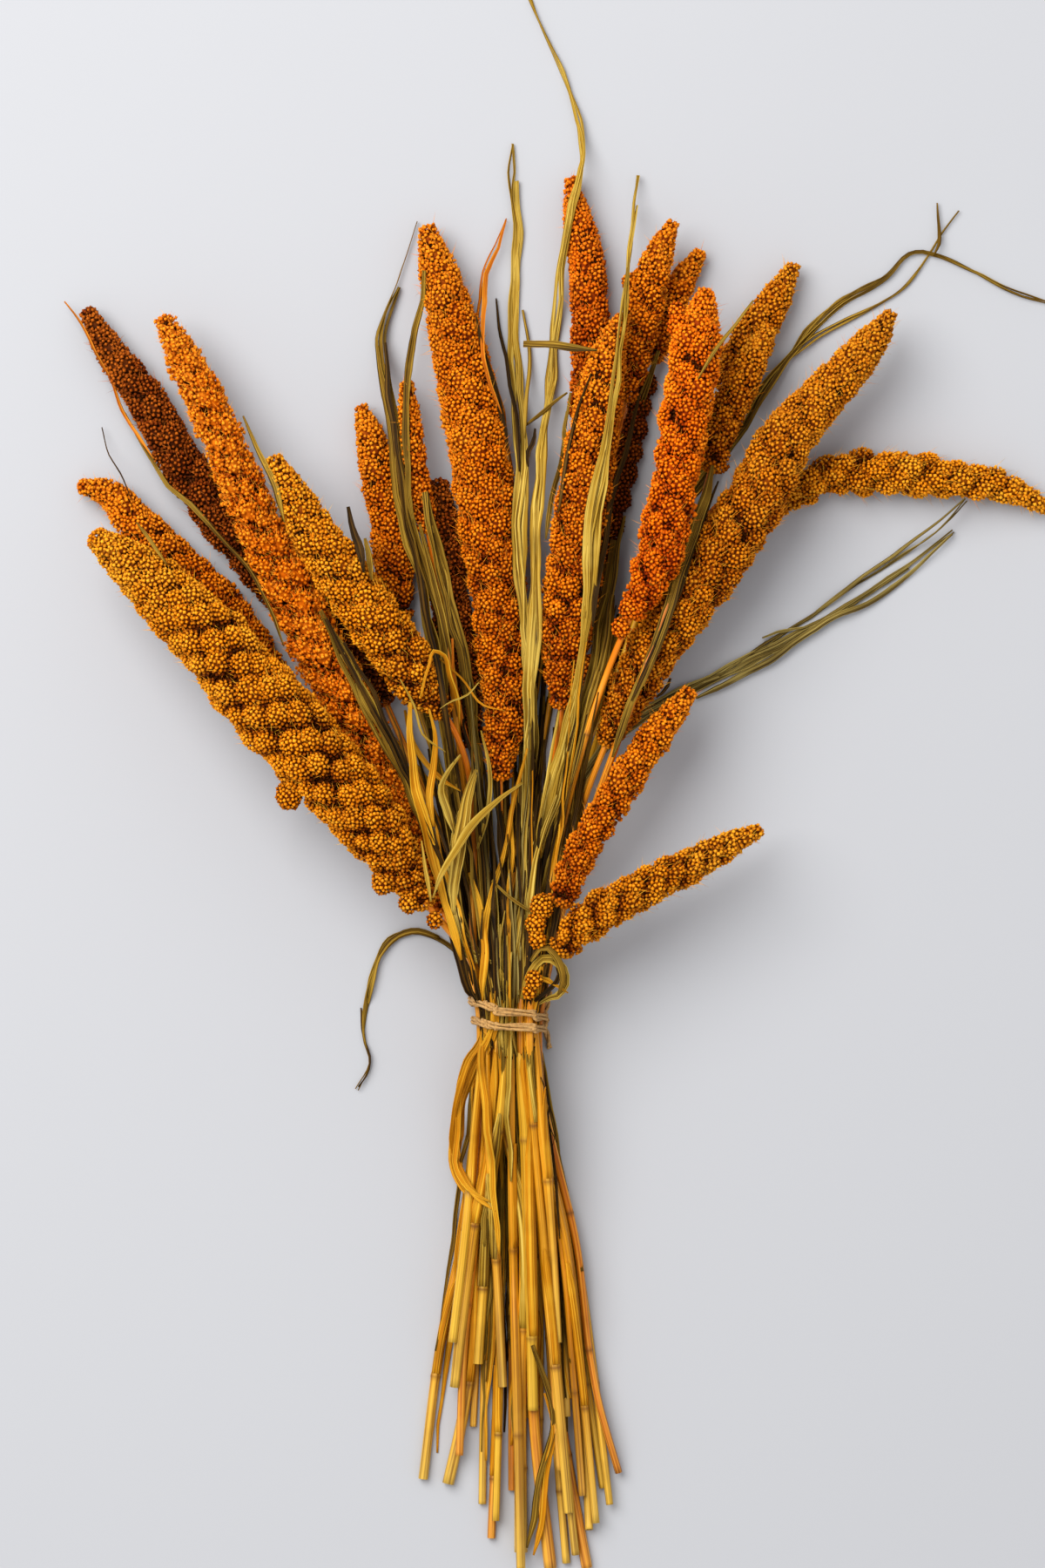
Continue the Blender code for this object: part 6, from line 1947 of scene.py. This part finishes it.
def lobe_ball(centre, radius, settings, grain, draw, finish):
    """A loose round lobe: the grains all over it, painted lighter on top and darker beneath, and a core in
    painted shade.
    """
    count = int(4 * math.pi * radius**2 / settings.grain_area)
    k = np.arange(count) + 0.5
    height = 1 - 2 * k / count
    swing = k * GOLDEN_ANGLE
    level = np.sqrt(1 - height**2)
    way = np.column_stack([level * np.cos(swing), level * np.sin(swing), height])
    centres = centre + way * radius * draw.uniform(*LOOSE_SPREAD, (count, 1)) * LOOSE_SHAPE
    axes = unit(way + draw.normal(0, CAP_TILT, way.shape))
    bright = LOOSE_SHADE + LOOSE_TOP_LIGHT * height
    lean = np.linspace(LOOSE_END, math.pi - LOOSE_END, LOOSE_RINGS)
    line = centre + np.outer(np.cos(lean) * (radius - DOME_INSET), LOOSE_AXIS)
    points, faces = tube(line[::-1], np.sin(lean) * (radius - DOME_INSET), LOOSE_SIDES)
    keep_above(points, DOME_LOWEST)
    return [grain_part(grain, centres, axes, bright, settings, draw, finish),
            (points, faces, finish, np.tile(LOOSE_CORE_SHADE, (len(points), 1)))]


def closed_smooth(points, count):
    """A smooth loop through the given points, read at evenly spread places."""
    ring = np.vstack([points[-2:], points, points[:2]])
    knots = np.arange(len(ring), dtype=float)
    where = 2 + np.arange(count) * len(points) / count
    return smooth_values(knots, ring, where)


def ply_parts(line, radius, draw, closed=False):
    """Two plies wound round a line."""
    count = len(line)
    span = np.linalg.norm(np.diff(line, axis=0), axis=1).sum()
    swing = 2 * math.pi * max(1, round(span / PLY_TURN)) * np.arange(count) / count
    side, up = cross_vectors(line, closed)
    parts = []
    for start in (0.0, math.pi):
        path = line + radius * PLY_OFFSET * swung(swing + start, side, up)
        points, faces = tube(path, np.full(count, radius * PLY_SHARE), PLY_SIDES, closed)
        keep_above(points, PLY_LOWEST)
        shade = np.tile([0.0, 0.0, 1.0], (len(points), 1))
        shade[:, 0] = draw.uniform(0, 1, len(points))
        parts.append((points, faces, 0, shade))
    return parts


def wrap_parts(pile, draw):
    """The wraps of the twine, each of two strands, and the middle of the knot on them."""
    parts = []
    knots = []
    target = math.radians(KNOT_ANGLE) % (2 * math.pi)
    for left, right in WRAPS:
        points = np.array(wrap_points(pile, left, right))
        ring, angle = points[:, :3], points[:, 3]
        inward = unit((ring.mean(axis=0) - ring) * [1.0, 0.0, 1.0])
        pulled = ring + inward * np.abs(inward) * WRAP_PULL
        knots.append(pulled[np.argmin(np.abs(angle - target))])
        line = closed_smooth(pulled, PLY_POINTS)
        for beside in (-WRAP_TURN / 2, WRAP_TURN / 2):
            strand = line + [0.0, beside, 0.0]
            parts += ply_parts(strand, WRAP_THINNING * TWINE_RADIUS, draw, closed=True)
    return parts, np.array(knots).mean(axis=0)


def knot_parts(middle, draw):
    """The two loops of the knot and its two cut tails."""
    turn = math.radians(KNOT_ANGLE)
    outward = np.array([math.cos(turn), 0.0, math.sin(turn)])
    upward = np.array([-math.sin(turn), 0.0, math.cos(turn)])
    centre = middle + outward * KNOT_OUTWARDS
    swing = np.linspace(0, 2 * math.pi, KNOT_POINTS, endpoint=False)[:, None]
    parts = []
    for lean in KNOT_LEANS:
        loop = centre + KNOT_DEPTH * np.cos(swing) * outward + np.sin(swing) * KNOT_LENGTH
        loop = loop + lean * upward * (1 + KNOT_WAIST * np.cos(2 * swing))
        parts += ply_parts(loop, TAIL_RADIUS, draw, closed=True)
    for bend, end in TAILS:
        path = np.array([centre, centre + bend, centre + end])
        keep_above(path, TAIL_RADIUS + WRAP_LIFT)
        span = knots_of(path)
        line = smooth_values(span, path, np.linspace(0, span[-1], TAIL_POINTS))
        parts += ply_parts(line, TAIL_RADIUS, draw)
    return parts


def twine_material(name, colour):
    """Jute: fine dark fibres, and pale fluff here and there."""
    made, tree, shader = new_material(name, roughness=0.85)
    tint = shade_values(tree)[0]
    fibre = map_range(tree, noise(tree, object_place(tree), TWINE_SCALE, 4.0), 0.3, 0.7)
    deep = tuple(channel * TWINE_SHADOW for channel in colour)
    body = mix_colour(tree, colour, deep, map_range(tree, fibre, 0.3, 1.0, 0.8))
    body = mix_colour(tree, body, linear(TWINE_FLUFF), map_range(tree, tint, 0.5, 1.0, 0.4))
    tree.links.new(body, shader.inputs["Base Color"])
    return made


class MILLET_OT_heads(bpy.types.Operator):
    """Build the seed heads: a core, grains in lobes, and bristles"""
    bl_idname = "millet.heads"
    bl_label = "Seed heads"

    def execute(self, context):
        settings = context.scene.millet_heads
        grain = modelled_bead()
        bristle = modelled_spike(BRISTLE_SIDES)
        crevice_shade = tuple(settings.crevice_shade)
        finishes = {style: [grain_material("millet " + label, style, crevice_shade),
                            bristle_material("bristle " + label, style)]
                    for label, style in GRAIN_NAMES.items()}
        for name, stations in laid()["heads"].items():
            parts = head_parts(name, stations, settings, grain, bristle)
            style = HEAD_STYLES[name][0]
            make_piece("grains_" + name, parts, finishes[style], ["head_" + name])
        draw = np.random.default_rng(HEAD_SEED)
        styles = list(GRAIN_NAMES.values())
        parts = []
        for name, lobes in LOOSE_LOBES.items():
            beside = np.vstack([laid()["heads"][name], laid()["culms"][name]])
            finish = styles.index(HEAD_STYLES[name][0])
            for x, y, lift, radius in lobes:
                nearest = beside[np.argmin(np.hypot(beside[:, 0] - x, beside[:, 1] - y))]
                centre = np.array([x, y, max(nearest[2] + lift, radius)])
                parts += lobe_ball(centre, radius, settings, grain, draw, finish)
        make_piece("loose_lobes", parts, [finishes[style][0] for style in styles])
        return {"FINISHED"}


class MILLET_OT_culms(bpy.types.Operator):
    """Build the culms, with rings and hollow cut ends"""
    bl_idname = "millet.culms"
    bl_label = "Culms"

    def execute(self, context):
        finishes = straw_finishes(context.scene.millet_straw)
        for number, (name, stations) in enumerate(laid()["culms"].items()):
            parts = culm_parts(stations, np.random.default_rng(CULM_SEED + number))
            make_piece("straw_" + name, parts, finishes, ["culm_" + name])
        return {"FINISHED"}


class MILLET_OT_leaves(bpy.types.Operator):
    """Build the dry leaves"""
    bl_idname = "millet.leaves"
    bl_label = "Leaves"

    def execute(self, context):
        for number, (name, blades) in enumerate(laid()["leaves"].items()):
            draw = np.random.default_rng(LEAF_SEED + number)
            style, width = LEAF_STYLES[name]
            parts = []
            for stations in blades:
                parts += split_blade(stations * [1.0, 1.0, 1.0, width], LEAF_ROLLS[name], draw)
            make_piece("blade_" + name, parts, [finish_for(style)], ["leaf_" + name])
        return {"FINISHED"}


class MILLET_OT_twine(bpy.types.Operator):
    """Build the twisted twine, its knot and its tails"""
    bl_idname = "millet.twine"
    bl_label = "Twine"

    def execute(self, context):
        draw = np.random.default_rng(TWINE_SEED)
        parts, middle = wrap_parts(laid()["pile"], draw)
        parts += knot_parts(middle, draw)
        finish = twine_material("jute", context.scene.millet_straw.twine)
        make_piece("twine", parts, [finish], ["twine_tie"])
        return {"FINISHED"}


class MILLET_OT_strands(bpy.types.Operator):
    """Build the thin strands among the stalks, and the torn leaves, curls and fibres on top"""
    bl_idname = "millet.strands"
    bl_label = "Strands"

    def execute(self, context):
        colours = list(STYLE_NAMES.values())
        finishes = [finish_for(style) for style in colours]
        pile = laid()["pile"]
        for number, (label, way, count, reach, widths, spread, height, shades) in enumerate(FANS):
            draw = np.random.default_rng(STRAND_SEED + number)
            straws = straw_pile(height)
            parts = []
            for style, route in fan_routes(way, count, reach, widths, spread, shades, draw):
                stations = lay_strand(straws, route, 0.0)
                parts.append(blade_part(stations, draw, finish=colours.index(style), step=STRAND_STEP))
            make_piece("strands_" + label, parts, finishes)
            if height == WHOLE_BUNCH:
                pile.add(straws.balls[straws.balls[:, 3] <= SHEET_HALF])
        draw = np.random.default_rng(STRAND_SEED)
        parts = []
        for route in STRAWS:
            parts += culm_parts(lay_straw(pile, route), draw, STRAW_START)
        make_piece("straws", parts, straw_finishes(context.scene.millet_straw))
        parts = []
        for style, lift, route in STRANDS:
            stations = lay_strand(pile, route, lift)
            parts.append(blade_part(stations, draw, finish=colours.index(style)))
        make_piece("torn_leaves", parts, finishes)
        return {"FINISHED"}


class MILLET_OT_stage(bpy.types.Operator):
    """Build the floor, the light and the camera"""
    bl_idname = "millet.stage"
    bl_label = "Stage"

    def execute(self, context):
        settings = context.scene.millet_stage
        bpy.ops.object.select_all(action="DESELECT")
        bpy.ops.mesh.primitive_plane_add(size=FLOOR_SIZE)
        floor = context.object
        floor.name = "floor"
        finish, tree, shader = new_material("floor", roughness=0.9)
        shader.inputs["Base Color"].default_value = (*settings.floor, 1.0)
        floor.data.materials.append(finish)
        bpy.ops.object.light_add(type="AREA", location=KEY_PLACE)
        key = context.object
        key.name = "key"
        key.data.shape = "DISK"
        key.data.size = KEY_SIZE
        key.data.energy = settings.key_power
        key.rotation_euler = (-key.location).to_track_quat("-Z", "Y").to_euler()
        world = bpy.data.worlds.new("surroundings")
        world.use_nodes = True
        sky = world.node_tree.nodes["Background"]
        sky.inputs["Color"].default_value = SKY
        sky.inputs["Strength"].default_value = settings.ambient
        context.scene.world = world
        bpy.ops.object.camera_add()
        camera = context.object
        camera.name = "camera"
        camera.location = (CAMERA_X * MM, CAMERA_Y * MM, settings.camera_height)
        camera.rotation_euler = (0.0, 0.0, 0.0)
        distance = settings.camera_height - MIDDLE_HEIGHT * MM
        camera.data.sensor_width = SENSOR
        camera.data.lens = SENSOR * distance / (PHOTO_TALL * MM)
        camera.data.clip_end = FAR_CLIP
        context.scene.camera = camera
        context.scene.view_settings.view_transform = "Standard"
        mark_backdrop(floor, key, camera)
        return {"FINISHED"}


class MILLET_PT_panel(bpy.types.Panel):
    bl_label = "Millet bundle"
    bl_idname = "MILLET_PT_panel"
    bl_space_type = "VIEW_3D"
    bl_region_type = "UI"
    bl_category = "Millet"

    def draw(self, context):
        for name, group in SETTINGS.items():
            for key in group.__annotations__:
                self.layout.prop(getattr(context.scene, name), key)
        for operator in OPERATORS:
            self.layout.operator(operator.bl_idname)


OPERATORS = (MILLET_OT_heads, MILLET_OT_culms, MILLET_OT_leaves, MILLET_OT_twine, MILLET_OT_strands,
             MILLET_OT_stage)
SETTINGS = {"millet_heads": MilletHeadSettings, "millet_straw": MilletStrawSettings,
            "millet_stage": MilletStageSettings}
CLASSES = (*SETTINGS.values(), *OPERATORS, MILLET_PT_panel)


def register():
    for made in CLASSES:
        bpy.utils.register_class(made)
    for name, group in SETTINGS.items():
        setattr(bpy.types.Scene, name, PointerProperty(type=group))


def unregister():
    for name in SETTINGS:
        delattr(bpy.types.Scene, name)
    for made in reversed(CLASSES):
        bpy.utils.unregister_class(made)


def main():
    register()
    bpy.ops.millet.heads()
    bpy.ops.millet.culms()
    bpy.ops.millet.leaves()
    bpy.ops.millet.twine()
    bpy.ops.millet.strands()
    bpy.ops.millet.stage()
    boxes = {"cad": CAD_BOX, "visual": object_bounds()}
    plain = {key: [list(corner) for corner in box] for key, box in boxes.items()}


if __name__ == "__main__":
    main()
